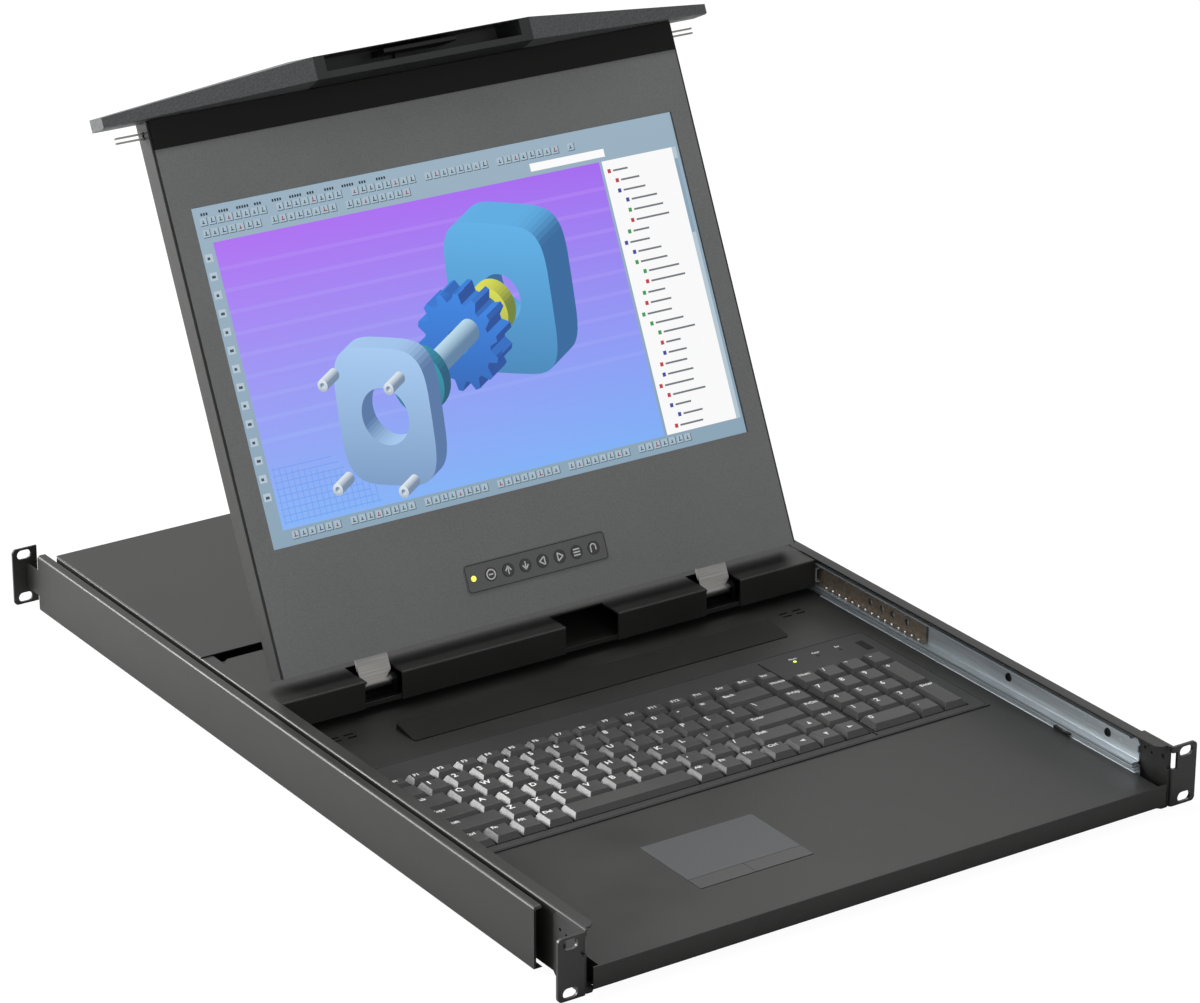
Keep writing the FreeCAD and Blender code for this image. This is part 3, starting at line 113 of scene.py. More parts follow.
def add(tree, kind, inputs=None, stops=(), **settings):
    """Adds a node with its settings, its inputs and, on a colour ramp, its (place, colour)s."""
    node = tree.nodes.new(kind)
    for name, value in settings.items():
        setattr(node, name, value)
    for i, (place, colour) in enumerate(stops):
        node.color_ramp.elements[i].position = place
        node.color_ramp.elements[i].color = linear(colour)
    feed(tree, node, inputs or {})
    return node


def new_finish(name, **values):
    """Material with one main shader whose plain values are set on its own sockets."""
    material = bpy.data.materials.new(name)
    material.use_nodes = True
    tree = material.node_tree
    shader = tree.nodes["Principled BSDF"]
    feed(tree, shader, {socket.replace("_", " "): value for socket, value in values.items()})
    return material, tree, shader


def grain_map(tree, size_mm, detail=2.0, stretch=(1, 1, 1)):
    """Cloudy pattern whose lumps are about size_mm across, fixed to the piece."""
    place = add(tree, "ShaderNodeTexCoord")
    scaled = add(tree, "ShaderNodeMapping", {"Vector": place.outputs["Object"], "Scale": stretch})
    cloud = add(tree, "ShaderNodeTexNoise", {"Vector": scaled.outputs["Vector"],
                                             "Scale": 1 / (size_mm * MM), "Detail": detail})
    return cloud.outputs["Fac"]


# ---- finishes ----
CLOUD_SIZE = 60          # broad clouds of a moulded or coated face, in widths of its grain
CLOUD_SHARE = 0.3
STREAK_MM = 0.8          # width of a rolling streak


def grained(name, dark, light, roughness, grain_mm, depth_mm, **values):
    """Two close tones, a matching ripple in the sheen and a fine raised grain."""
    material, tree, shader = new_finish(name, **values)
    grain = grain_map(tree, grain_mm)
    cloud = grain_map(tree, grain_mm * CLOUD_SIZE, 3.0)
    both = add(tree, "ShaderNodeMix", {"Factor": CLOUD_SHARE, "A": grain, "B": cloud},
               data_type="FLOAT")
    tone = add(tree, "ShaderNodeValToRGB", {"Fac": both.outputs["Result"]},
               ((0.32, dark), (0.68, light)))
    sheen = add(tree, "ShaderNodeMapRange",
                {"Value": cloud, "From Min": 0.3, "From Max": 0.7,
                 "To Min": roughness - 0.04, "To Max": roughness + 0.05})
    bump = add(tree, "ShaderNodeBump", {"Height": grain, "Strength": 0.6,
                                        "Distance": depth_mm * MM})
    feed(tree, shader, {"Base Color": tone.outputs["Color"],
                        "Roughness": sheen.outputs["Result"], "Normal": bump.outputs["Normal"]})
    return material


def powder_coated_steel():
    """Black powder coat on folded sheet: a soft sheen broken by a pebbled grain. The real grain
    is about 0.3 mm and is drawn at 1 mm so that it shows."""
    return grained("powder_coated_steel", "#232322", "#2d2d2c", 0.4, 1.0, 0.05,
                   Specular_IOR_Level=0.4)


def bezel_paint():
    """Satin black paint over the monitor's front, more even than the chassis. It is drawn mid grey: painted light,
    which makes the forward-facing front as bright as a well-lit one.
    """
    return grained("satin_bezel_with_painted_light", "#727374", "#818282", 0.46, 1.1, 0.03)


def moulded_abs(name, dark, light, roughness):
    """ABS from a spark-eroded mould: matt, with a grain just fine enough to kill reflections."""
    return grained(name, dark, light, roughness, 0.8, 0.03, Specular_IOR_Level=0.35)


def leather_abs():
    """Grey ABS of the handle's ends: a coarse leather grain, paler on its lumps."""
    material, tree, shader = new_finish("textured_handle_abs", Roughness=0.5)
    place = add(tree, "ShaderNodeTexCoord")
    cells = add(tree, "ShaderNodeTexVoronoi", {"Vector": place.outputs["Object"],
                                               "Scale": 1 / (1.3 * MM)})
    height = add(tree, "ShaderNodeMath", {0: cells.outputs["Distance"], 1: grain_map(tree, 1.6)},
                 operation="MULTIPLY")
    tone = add(tree, "ShaderNodeValToRGB", {"Fac": height.outputs["Value"]},
               ((0.05, "#454748"), (0.4, "#5a5c5d")))
    bump = add(tree, "ShaderNodeBump", {"Height": height.outputs["Value"], "Strength": 0.7,
                                        "Distance": 0.25 * MM})
    feed(tree, shader, {"Base Color": tone.outputs["Color"], "Normal": bump.outputs["Normal"]})
    return material


def rolled_metal(name, dark, light, roughness, stretch=(1, 0.02, 1), haze=0.0):
    """Plated strip: faint streaks run along the way it was rolled, under a haze of plating
    that scatters light from where it mirrors nothing bright."""
    material, tree, shader = new_finish(name, Metallic=1 - haze)
    streak = grain_map(tree, STREAK_MM, 3.0, stretch)
    tone = add(tree, "ShaderNodeValToRGB", {"Fac": streak}, ((0.3, dark), (0.7, light)))
    sheen = add(tree, "ShaderNodeMapRange",
                {"Value": streak, "From Min": 0.3, "From Max": 0.7,
                 "To Min": roughness - 0.05, "To Max": roughness + 0.06})
    feed(tree, shader, {"Base Color": tone.outputs["Color"],
                        "Roughness": sheen.outputs["Result"]})
    return material


def oiled_cage():
    """Brown oiled cage of phosphated steel, stained unevenly."""
    material, tree, shader = new_finish("oiled_phosphated_cage", Metallic=0.5, Roughness=0.36)
    brown = add(tree, "ShaderNodeValToRGB", {"Fac": grain_map(tree, 3.0, 3.0)},
                ((0.3, "#86796c"), (0.7, "#a89a8b")))
    feed(tree, shader, {"Base Color": brown.outputs["Color"]})
    return material


def connector_mix():
    """Rear sockets: the mains inlet is black nylon, the signal connector is plated steel."""
    material, tree, shader = new_finish("nylon_inlet_and_plated_connector", Roughness=0.4)
    place = add(tree, "ShaderNodeTexCoord")
    parts = add(tree, "ShaderNodeSeparateXYZ", {"Vector": place.outputs["Object"]})
    plated = add(tree, "ShaderNodeMath", {0: parts.outputs["X"], 1: SOCKET_DIVIDE},
                 operation="LESS_THAN")
    nylon = add(tree, "ShaderNodeValToRGB", {"Fac": grain_map(tree, 2.0)},
                ((0.3, "#1b1b1b"), (0.7, "#242424")))
    tone = add(tree, "ShaderNodeMix",
               {"Factor": plated.outputs["Value"], "A": nylon.outputs["Color"],
                "B": linear("#b9bcbd")}, data_type="RGBA")
    feed(tree, shader, {"Base Color": tone.outputs["Result"],
                        "Metallic": plated.outputs["Value"]})
    return material


def touch_film():
    """Satin film over the touch sensor, printed with a fine ruled pattern."""
    material, tree, shader = new_finish("satin_touch_film", Roughness=0.45)
    place = add(tree, "ShaderNodeTexCoord")
    rule = add(tree, "ShaderNodeTexWave", {"Vector": place.outputs["Object"],
                                           "Scale": 1 / (6.0 * MM)}, bands_direction="Y")
    tone = add(tree, "ShaderNodeValToRGB", {"Fac": rule.outputs["Fac"]},
               ((0.2, "#3d3e3f"), (0.8, "#47494a")))
    feed(tree, shader, {"Base Color": tone.outputs["Color"]})
    return material


def lit_lens():
    """Diffusing lens over a lit yellow-green diode: cloudy, so that it glows unevenly."""
    material, tree, shader = new_finish("lit_diode_lens", Roughness=0.3, Emission_Strength=1.4)
    tone = add(tree, "ShaderNodeValToRGB", {"Fac": grain_map(tree, 1.5)},
               ((0.2, "#b9c41e"), (0.9, "#e8ef7a")))
    feed(tree, shader, {"Base Color": tone.outputs["Color"],
                        "Emission Color": tone.outputs["Color"]})
    return material


def printed_ink():
    """Screen-printed lettering: off-white, a little uneven in tone."""
    material, tree, shader = new_finish("white_ink", Roughness=0.55)
    tone = add(tree, "ShaderNodeValToRGB", {"Fac": grain_map(tree, 0.6)},
               ((0.3, "#d6d8d7"), (0.6, "#eeefee")))
    feed(tree, shader, {"Base Color": tone.outputs["Color"]})
    return material


def lit_display():
    """Back-lit picture behind an anti-glare face: it glows evenly and hardly reflects."""
    material, tree, shader = new_finish("lit_display", Roughness=0.35, Emission_Strength=0.95,
                                        Base_Color=linear("#050505"))
    tint = add(tree, "ShaderNodeAttribute", attribute_name="tint")
    level = add(tree, "ShaderNodeMapRange", {"Value": grain_map(tree, 1.2), "To Min": 0.97,
                                             "To Max": 1.0})
    shown = add(tree, "ShaderNodeVectorMath",
                {0: tint.outputs["Color"], "Scale": level.outputs["Result"]}, operation="SCALE")
    feed(tree, shader, {"Emission Color": shown.outputs["Vector"]})
    return material


SOCKET_DIVIDE = 50 * MM          # x between the signal connector and the mains inlet
POWDER = powder_coated_steel()
# a darker, smoother black coat than the chassis's for the front ears: the extra dark is painted shade for their
# forward faces, which get little light
EAR_PAINTED_SHADE = grained("smooth_black_ear_with_painted_shade", "#191918", "#222221", 0.36, 1.0, 0.03, Specular_IOR_Level=0.6)
# black bezel drawn mid grey: painted light on the monitor's front
BEZEL_PAINTED_LIGHT = bezel_paint()
STRIP = grained("black_strip_film", "#100f0f", "#151413", 0.45, 1.2, 0.01,
                Specular_IOR_Level=0.15)
PLATE = grained("menu_plate_film", "#5f6060", "#686969", 0.42, 1.0, 0.01)
# near-black patches: painted shade in the keyboard frame's slot and trench; also the dark lines round the frame
# and the menu plate
SHADOW_GAP = moulded_abs("dark_line_and_gap_shade", "#070707", "#0d0d0d", 0.8)
ABS = moulded_abs("moulded_abs", "#171717", "#1e1e1e", 0.36)
FRAME_ABS = moulded_abs("keyboard_frame_abs", "#2a2a2a", "#323232", 0.5)
KEY_ABS = grained("keycap_abs", "#313131", "#393938", 0.4, 0.8, 0.03, Specular_IOR_Level=0.6)
LEATHER = leather_abs()
GRIP = moulded_abs("smooth_handle_abs", "#2c2d2e", "#333435", 0.36)
RUBBER = grained("moulded_rubber", "#100f0e", "#161513", 0.6, 0.8, 0.03, Specular_IOR_Level=0.2)
ZINC = rolled_metal("zinc_plated_rail", "#b4bdc3", "#d0d8dc", 0.36, haze=0.5)
NICKEL = rolled_metal("nickel_plated_hinge", "#8b8a87", "#a5a4a1", 0.36, (0.02, 1, 1))
BLACK_ZINC = rolled_metal("black_zinc_bracket", "#2c2d2f", "#3b3c3f", 0.4)
CAGE = oiled_cage()
BALL = rolled_metal("bearing_ball_steel", "#d2d5d7", "#e2e4e5", 0.16, (1, 1, 1))
SOCKETS = connector_mix()
TOUCH = touch_film()
SCREW = rolled_metal("black_oxide_screw", "#2a2a2b", "#3a3a3b", 0.4, (1, 1, 1))
LENS_ON = lit_lens()
LENS_OFF = moulded_abs("dark_diode_lens", "#232422", "#2c2d2b", 0.25)
BOARD = moulded_abs("circuit_board", "#16452a", "#1d5433", 0.4)
INK = printed_ink()
DISPLAY = lit_display()
PANEL_BACKING = moulded_abs("display_backing", "#101112", "#141516", 0.4)

SLOT_FINISH = {
    "textured_black": POWDER, "satin_black": BEZEL_PAINTED_LIGHT, "gloss_black": STRIP, "black_plastic": ABS,
    "keyboard_plastic": FRAME_ABS, "key_black": KEY_ABS, "touch_black": TOUCH,
    "grip_grey": LEATHER, "grip_smooth": GRIP, "black_rubber": RUBBER, "zinc_steel": ZINC,
    "ball_steel": CAGE, "hinge_steel": NICKEL, "black_zinc": BLACK_ZINC, "screw_steel": SCREW,
    "screen_glass": PANEL_BACKING, "board_green": BOARD, "led_lens": LENS_ON,
}
NODE_FINISH = {"rear_ports": SOCKETS, "osd_plate": PLATE, "front_ears": EAR_PAINTED_SHADE}
# how far each node's edges are broken, in mm: folded sheet has a soft edge, plate a sharper one
EDGE_BREAK = {"tray_pan": 0.6, "handle": 0.6, "handle_wings": 0.6, "monitor_bezel": 0.25,
              "monitor_shell": 0.5, "front_ears": 0.25, "rear_bracket_left": 0.8,
              "rear_bracket_right": 0.8, "hinge_cover": 0.5, "rest_pad": 0.5,
              "hinge_leaves": 0.2, "chassis_side_left": 0.5, "chassis_side_right": 0.5,
              "rear_cover": 0.2, "release_tab": 0.4}
CAP_EDGE_BREAK = 0.2
EDGE_STEPS = 3
SMOOTH_BELOW = math.radians(35)       # faces that meet at less than this keep their edge


def break_edges(item, width_mm):
    """Rounds the edges a little, so that they catch the light as real ones do."""
    edge = item.modifiers.new("edge_break", "BEVEL")
    edge.width = width_mm * MM
    edge.segments = EDGE_STEPS
    edge.limit_method = "ANGLE"
    edge.angle_limit = SMOOTH_BELOW
    edge.use_clamp_overlap = True


for subpart in frame["record"]["subparts"]:
    name = subpart["node"]
    finish = NODE_FINISH.get(name, SLOT_FINISH[subpart["material_slot"]])
    NODES[name].data.materials.clear()
    NODES[name].data.materials.append(finish)
    if name in EDGE_BREAK:
        break_edges(NODES[name], EDGE_BREAK[name])

LIT_FROM_MIDDLE = 10 * MM             # the lit light lies further left of the middle than this


def light_left_lens(node):
    """Leaves only the left one of the keyboard's lights lit."""
    low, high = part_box(node)
    limit = (low.x + high.x) / 2 - LIT_FROM_MIDDLE
    mesh = NODES[node].data
    mesh.materials.append(LENS_OFF)
    for polygon in mesh.polygons:
        polygon.material_index = int(polygon.center.x > limit)


light_left_lens("keyboard_leds")


# ---- flat pieces ----
PRINT_LIFT = 0.03 * MM           # ink lies this far above the face it is printed on
MARK_LIFT = 0.02 * MM            # the same on the small keys and plate of the menu
CAPTION_WEIGHT = 0.03            # how much bolder the strokes are, as a share of the height
CAPITAL_HEIGHT = 0.8             # room a capital takes, as a share of the height


def piece(name, points, faces, material, body, place=FLAT):
    """New mesh in one finish that rides on a body."""
    mesh = bpy.data.meshes.new(name)
    mesh.from_pydata(points, [], faces)
    mesh.materials.append(material)
    item = bpy.data.objects.new(name, mesh)
    bpy.context.scene.collection.objects.link(item)
    item.matrix_world = place
    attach(item, body)
    return item


def panel_box(node):
    """Lowest and highest corner of a node in the monitor's own frame."""
    inverse = PANEL.inverted()
    corners = [inverse @ vertex.co for vertex in NODES[node].data.vertices]
    return (Vector(map(min, *corners)), Vector(map(max, *corners)))


def lettering(captions, level):
    """Flat captions: each is (text, x, y, height) with x, y at its lower left corner."""
    points, faces = [], []
    for text, x, y, height in captions:
        curve = bpy.data.curves.new("caption", "FONT")
        curve.body = text
        curve.size = height
        curve.offset = height * CAPTION_WEIGHT
        curve.resolution_u = 2
        item = bpy.data.objects.new("caption", curve)
        mesh = bpy.data.meshes.new_from_object(item)
        start = len(points)
        points += [(x + v.co.x, y + v.co.y, level) for v in mesh.vertices]
        faces += [[start + i for i in face.vertices] for face in mesh.polygons]
        bpy.data.objects.remove(item)
        bpy.data.curves.remove(curve)
        bpy.data.meshes.remove(mesh)
    return points, faces


# ---- key caps: a short skirt, four sloping sides and a dished top ----
CAP_SKIRT = 3.7 * MM               # skirt's upper edge below the top
CAP_SKIRT_IN = 0.25 * MM           # how far that edge lies inside the foot
# and how far the top's edges do, which makes the slopes
CAP_SIDE_IN, CAP_FRONT_IN, CAP_REAR_IN = 2.7 * MM, 3.2 * MM, 1.9 * MM
CAP_DISH = 0.15 * MM               # depth of the hollow in the top, across the cap
CAP_STATIONS = 9                   # points across the dish
LONG_BAR = 3 * KEY_UNIT            # a cap as wide as this keeps a flat top


def key_cap(x0, y0, width, depth, low, top):
    """Points and faces of one cap on its cell."""
    gap = KEY_GAP / 2
    x1, y1 = x0 + width, y0 + depth

    def ring(side, front, rear, z):
        return [(x0 + gap + side, y0 + gap + front, z), (x1 - gap - side, y0 + gap + front, z),
                (x1 - gap - side, y1 - gap - rear, z), (x0 + gap + side, y1 - gap - rear, z)]

    points = ring(0, 0, 0, low) + ring(CAP_SKIRT_IN, CAP_SKIRT_IN, CAP_SKIRT_IN, top - CAP_SKIRT)
    head = ring(CAP_SIDE_IN, CAP_FRONT_IN, CAP_REAR_IN, top)
    dish = CAP_DISH if width < LONG_BAR else 0
    for y in (head[0][1], head[3][1]):
        for i in range(CAP_STATIONS):
            t = i / (CAP_STATIONS - 1)
            points.append((head[0][0] + (head[1][0] - head[0][0]) * t, y,
                           top - dish * (1 - (2 * t - 1) ** 2)))
    front = list(range(8, 8 + CAP_STATIONS))
    rear = list(range(8 + CAP_STATIONS, 8 + 2 * CAP_STATIONS))
    faces = [(i, (i + 1) % 4, (i + 1) % 4 + 4, i + 4) for i in range(4)]
    faces += [tuple([4, 5] + front[::-1]), (5, 6, rear[-1], front[-1]), tuple([6, 7] + rear),
              (7, 4, front[0], rear[0]), (3, 2, 1, 0)]
    faces += [(a, b, d, c) for a, b, c, d in zip(front, front[1:], rear, rear[1:])]
    return points, faces


def shaped_keys(node, keys):
    """Caps of one row, in place of its plain ones."""
    low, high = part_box(node)
    points, faces = [], []
    for _, *cell in keys:
        corners, sides = key_cap(*cell, low.z, high.z)
        faces += [[i + len(points) for i in face] for face in sides]
        points += corners
    caps = piece(node + "_caps", points, faces, KEY_ABS, node)
    break_edges(caps, CAP_EDGE_BREAK)
    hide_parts(node)


CAPTION_IN, CAPTION_DOWN = 4.8 * MM, 2.6 * MM     # from the left and rear of the key's cell
LETTER_HEIGHT, WORD_HEIGHT = 6.4 * MM, 4.4 * MM
ARROW_SIZE = 2.4 * MM
ARROWS = {"^": 90, "v": -90, "<": 180, ">": 0}


def arrow(x, y, size, degrees, level):
    """Small solid triangle pointing the given way."""
    angles = [math.radians(degrees + turn) for turn in (0, 140, 220)]
    return [(x + size * math.cos(a), y + size * math.sin(a), level) for a in angles]


def caption_keys(node, keys):
    """Captions for keys given as (caption, x0, y0, width, depth) in metres."""
    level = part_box(node)[1].z + PRINT_LIFT
    captions, points, faces = [], [], []
    for text, x0, y0, width, depth in keys:
        if text in ARROWS:
            faces.append([len(points) + i for i in range(3)])
            points += arrow(x0 + width / 2, y0 + depth / 2, ARROW_SIZE, ARROWS[text], level)
        elif text:
            height = LETTER_HEIGHT if len(text) == 1 else WORD_HEIGHT
            captions.append((text, x0 + CAPTION_IN,
                             y0 + depth - CAPTION_DOWN - height * CAPITAL_HEIGHT, height))
    text_points, text_faces = lettering(captions, level)
    faces += [[i + len(points) for i in face] for face in text_faces]
    piece(node + "_captions", points + text_points, faces, INK, node)


def row_of_keys(node, row):
    """Keys of one row as (caption, x0, y0, width, depth), on cells that fill the row's box."""
    low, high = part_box(node)
    unit = KEY_UNIT
    if node == "function_keys":
        unit = (high.x - low.x + KEY_GAP) / len(row)
    x = low.x - KEY_GAP / 2
    keys = []
    for entry in row:
        text, units = entry if isinstance(entry, tuple) else (entry, 1)
        keys.append((text, x, low.y - KEY_GAP / 2, units * unit, high.y - low.y + KEY_GAP))
        x += units * unit
    return keys


low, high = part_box("keypad_keys")
ALL_KEYS = {node: row_of_keys(node, row) for node, row in KEY_ROWS.items()}
ALL_KEYS["keypad_keys"] = [
    (text, low.x - KEY_GAP / 2 + column * KEY_UNIT, low.y - KEY_GAP / 2 + row * KEY_UNIT,
     width * KEY_UNIT, depth * KEY_UNIT) for text, column, row, width, depth in KEYPAD]
for node, keys in ALL_KEYS.items():
    shaped_keys(node, keys)
    caption_keys(node, keys)


# ---- bearing balls, smooth over the facets of the CAD balls ----
def loose_parts(mesh):
    """Vertices of each loose part of a mesh; vertices at one place count as joined."""
    owner = list(range(len(mesh.vertices)))

    def root(i):
        while owner[i] != i:
            owner[i] = owner[owner[i]]
            i = owner[i]
        return i

    keys = {}
    for vertex in mesh.vertices:
        key = tuple(round(c, 7) for c in vertex.co)
        owner[vertex.index] = root(keys.setdefault(key, vertex.index))
    for edge in mesh.edges:
        a, b = (root(i) for i in edge.vertices)
        owner[a] = b
    parts = {}
    for vertex in mesh.vertices:
        parts.setdefault(root(vertex.index), []).append(vertex.co)
    return list(parts.values())


LARGEST_BALL = 8 * MM              # loose parts of the cage node above this are cages
BALL_OVERSIZE = 1.01               # just enough to cover the facets
BALL_RINGS, BALL_TURNS = 8, 14


def bearing_balls():
    """One smooth ball round the middle of each small loose part of the cage node."""
    points, faces = [], []
    rings, turns = BALL_RINGS, BALL_TURNS
    for part in loose_parts(NODES["ball_cages"].data):
        low, high = Vector(map(min, *part)), Vector(map(max, *part))
        if (high - low).length > LARGEST_BALL:
            continue
        centre, radius = (low + high) / 2, (high.z - low.z) / 2 * BALL_OVERSIZE
        start = len(points)
        for i in range(1, rings):
            tilt = math.pi * i / rings
            points += [centre + radius * Vector((math.sin(tilt) * math.cos(turn),
                                                 math.sin(tilt) * math.sin(turn),
                                                 math.cos(tilt)))
                       for turn in (2 * math.pi * j / turns for j in range(turns))]
        for i in range(rings - 2):
            for j in range(turns):
                a, b = start + i * turns + j, start + i * turns + (j + 1) % turns
                faces.append((a, a + turns, b + turns, b))
        faces.append(tuple(range(start, start + turns)))
        last = start + (rings - 2) * turns
        faces.append(tuple(range(last + turns - 1, last - 1, -1)))
    balls = piece("bearing_balls", points, faces, BALL, "ball_cages")
    for polygon in balls.data.polygons:
        polygon.use_smooth = True


bearing_balls()


# ---- on-screen picture: a drawing program with an exploded gear pump ----
PICTURE = {"points": [], "faces": [], "tints": [], "level": 0}
SCREEN_HIDDEN = 3.5 * MM            # edge of the display that the bezel covers
STEP_OUT = 0.0025 * MM              # each thing drawn lies this much in front of the last
PICTURE_LIFT = 0.05 * MM            # the first one lies this much in front of the display
low, high = panel_box("lcd_panel")
SCREEN_LEFT, SCREEN_LOW = low.x + SCREEN_HIDDEN, low.y + SCREEN_HIDDEN
SCREEN_WIDE = high.x - low.x - 2 * SCREEN_HIDDEN
SCREEN_HIGH = high.y - low.y - 2 * SCREEN_HIDDEN
SCREEN_FACE = high.z + PICTURE_LIFT


def draw(corners, colours):
    """One patch of the picture; corners in mm from the lower left of the screen."""
    start = len(PICTURE["points"])
    level = SCREEN_FACE + PICTURE["level"] * STEP_OUT
    PICTURE["points"] += [(SCREEN_LEFT + x * MM, SCREEN_LOW + y * MM, level)
                          for x, y in corners]
    PICTURE["faces"].append(list(range(start, start + len(corners))))
    tints = [linear(c) if isinstance(c, str) else c for c in colours]
    PICTURE["tints"] += tints if len(tints) == len(corners) else tints[:1] * len(corners)


def bar(x0, y0, x1, y1, *colours):
    """Upright patch; one colour, or one for each corner from the lower left round."""
    PICTURE["level"] += 1
    draw([(x0, y0), (x1, y0), (x1, y1), (x0, y1)], colours)


def shade(code, light):
    """Colour under a light level from 0 to 1, a little bluer in shadow."""
    r, g, b, a = linear(code)
    return (r * light, g * (0.1 + 0.9 * light), b * (0.25 + 0.75 * light), a)


def between(code, other, share):
    """Colour that lies a share of the way from one to the other."""
    return tuple(a + (b - a) * share for a, b in zip(linear(code), linear(other)))


# how the pump's own width, height and depth run across the flat picture, and its light
ACROSS, UPWARD, TOWARDS = Vector((1.12, -0.28)), Vector((0.13, 1.26)), Vector((-0.74, -0.41))
SUN = Vector((-0.35, 0.94))
WALL_LIGHT = (0.22, 0.75)           # of a wall turned away from the sun, and added towards it
FACE_LIGHT = (0.5, 0.5)             # at the foot of a face, and added at its head


def seen(point, depth, centre):
    """Where a point at some depth of the pump lies in the picture."""
    return centre + ACROSS * point[0] + UPWARD * point[1] + TOWARDS * depth


def solid_ring(outer, inner, back, front, centre, code):
    """Extruded outline with a hole, seen from the upper left: inner wall, outer wall, face."""
    count = len(outer)
    for outline, sign in ((inner, -1), (outer, 1)):
        walls = []
        for i in range(count):
            a, b = Vector(outline[i]), Vector(outline[(i + 1) % count])
            quad = [seen(a, back, centre), seen(b, back, centre), seen(b, front, centre),
                    seen(a, front, centre)]
            area = sum(p.x * q.y - q.x * p.y for p, q in zip(quad, quad[1:] + quad[:1]))
            if area * sign <= 0:
                continue
            along = (b - a).normalized()
            facing = Vector((along.y, -along.x)) * sign
            walls.append((quad, WALL_LIGHT[0] + WALL_LIGHT[1] * max(0.0, facing.dot(SUN))))
        PICTURE["level"] += 1
        for quad, light in walls:
            draw(quad, [shade(code, light)])
    PICTURE["level"] += 1
    low_y = min(p[1] for p in outer)
    high_y = max(p[1] for p in outer)
    for i in range(count):
        j = (i + 1) % count
        corners = [outer[i], outer[j], inner[j], inner[i]]
        lights = [FACE_LIGHT[0] + FACE_LIGHT[1] * (p[1] - low_y) / (high_y - low_y)
                  for p in corners]
        draw([seen(p, front, centre) for p in corners], [shade(code, s) for s in lights])


def circle(radius, count, x=0.0, y=0.0):
    """Outline of count points round (x, y)."""
    return [(x + radius * math.cos(2 * math.pi * i / count),
             y + radius * math.sin(2 * math.pi * i / count)) for i in range(count)]


def gear(root, tip, teeth):
    """Outline with square teeth between the root and tip radius, four points to a tooth."""
    points = []
    for i in range(teeth * 4):
        angle = 2 * math.pi * (i + 0.5) / (teeth * 4)
        radius = tip if i % 4 < 2 else root
        points.append((radius * math.cos(angle), radius * math.sin(angle)))
    return points


def rounded_plate(half_x, half_y, power, count):
    """Outline between an oval and a rectangle: squarer as the power falls from 1 to 0."""
    points = []
    for i in range(count):
        angle = 2 * math.pi * i / count
        c, s = math.cos(angle), math.sin(angle)
        points.append((half_x * math.copysign(abs(c) ** power, c),
                       half_y * math.copysign(abs(s) ** power, s)))
    return points


PANE, PANE_HEAD, BUTTON = "#8aa5b8", "#9ab2c4", "#b7c8d4"
TOOL_EDGE, TOOL_FACE = "#3f5566", "#a9bdca"
TOOL_MARKS = ("#1f3144", "#8a2636", "#22406e", "#1f3144", "#1e5a40")
TOOL_SIZE, TOOL_PITCH = 5.4, 6.3
MENU_PITCH, LETTER_PITCH = 13.2, 1.9
SIDE_TOOLS, SIDE_PITCH = 14, 12.2


def window_furniture(wide, high):
    """Grey-blue window with two tool rows and a menu above, one row below and one at its left
    side. Sizes are in mm."""
    bar(0, 0, wide, high, PANE, PANE, PANE_HEAD, PANE_HEAD)
    for row, (y, count, start) in enumerate(((high - 12.6, 46, 5), (high - 20.4, 25, 5),
                                             (3.6, 50, 16))):
        for i in range(count):
            if (i + row) % 9 == 8:
                continue
            x = start + i * TOOL_PITCH
            bar(x, y, x + TOOL_SIZE, y + TOOL_SIZE, TOOL_EDGE)
            bar(x, y + 0.5, x + TOOL_SIZE - 0.5, y + TOOL_SIZE, TOOL_FACE)
            mark = TOOL_MARKS[(i * 7 + row * 3) % len(TOOL_MARKS)]
            size = 0.9 + 0.5 * ((i * 5 + row) % 3)
            bar(x + 1.3, y + 1.6, x + 2.4 + size, y + 2.2, mark)
            bar(x + 1.9, y + 1.9, x + 2.6, y + 2.9 + size, mark)
    for i in range(11):
        for j in range(3 + i % 3):
            x = 6 + i * MENU_PITCH + j * LETTER_PITCH
            bar(x, high - 5.9, x + 1.3, high - 4.1, "#1c2a36")
    bar(wide - 120, high - 21, wide - 60, high - 15.6, "#ffffff")
    for i in range(SIDE_TOOLS):
        y = high - 36 - i * SIDE_PITCH
        bar(2, y, 7.4, y + 5.2, BUTTON)
        bar(3.4, y + 1.4, 5.4 + (i % 2) * 0.8, y + 3.2, "#33475a")


LIST_DEPTHS = (0, 1, 1, 2, 2, 2, 1, 0, 1, 1, 2, 2, 1, 1, 0, 1, 2, 2, 2, 1, 1, 0, 1, 1, 2, 1)
LIST_COLOURS = ("#c23040", "#2f9a4a", "#35429c")
LIST_INDENT = 4.6


def list_panel(x0, y0, x1, y1):
    """White list of parts, indented by depth, with a scroll bar at its right."""
    bar(x0, y0, x1, y1, "#fdfdfe")
    pitch = (y1 - y0 - 5) / len(LIST_DEPTHS)
    for i, depth in enumerate(LIST_DEPTHS):
        x = x0 + 3 + depth * LIST_INDENT
        y = y1 - 3 - (i + 1) * pitch
        bar(x, y + 1.4, x + 2.6, y + 4.2, LIST_COLOURS[(i * 5 + depth) % len(LIST_COLOURS)])
        length = 12 + (i * 37) % 17
        bar(x + 4.4, y + 2.0, min(x + 4.4 + length, x1 - 4), y + 3.3, "#6d7378")
    bar(x1 - 3.4, y0, x1, y1, BUTTON)
    bar(x1 - 3.2, y1 - 60, x1 - 0.2, y1 - 8, PANE)


GRID = "#6aa0f4"
GRID_PITCH = 4.4


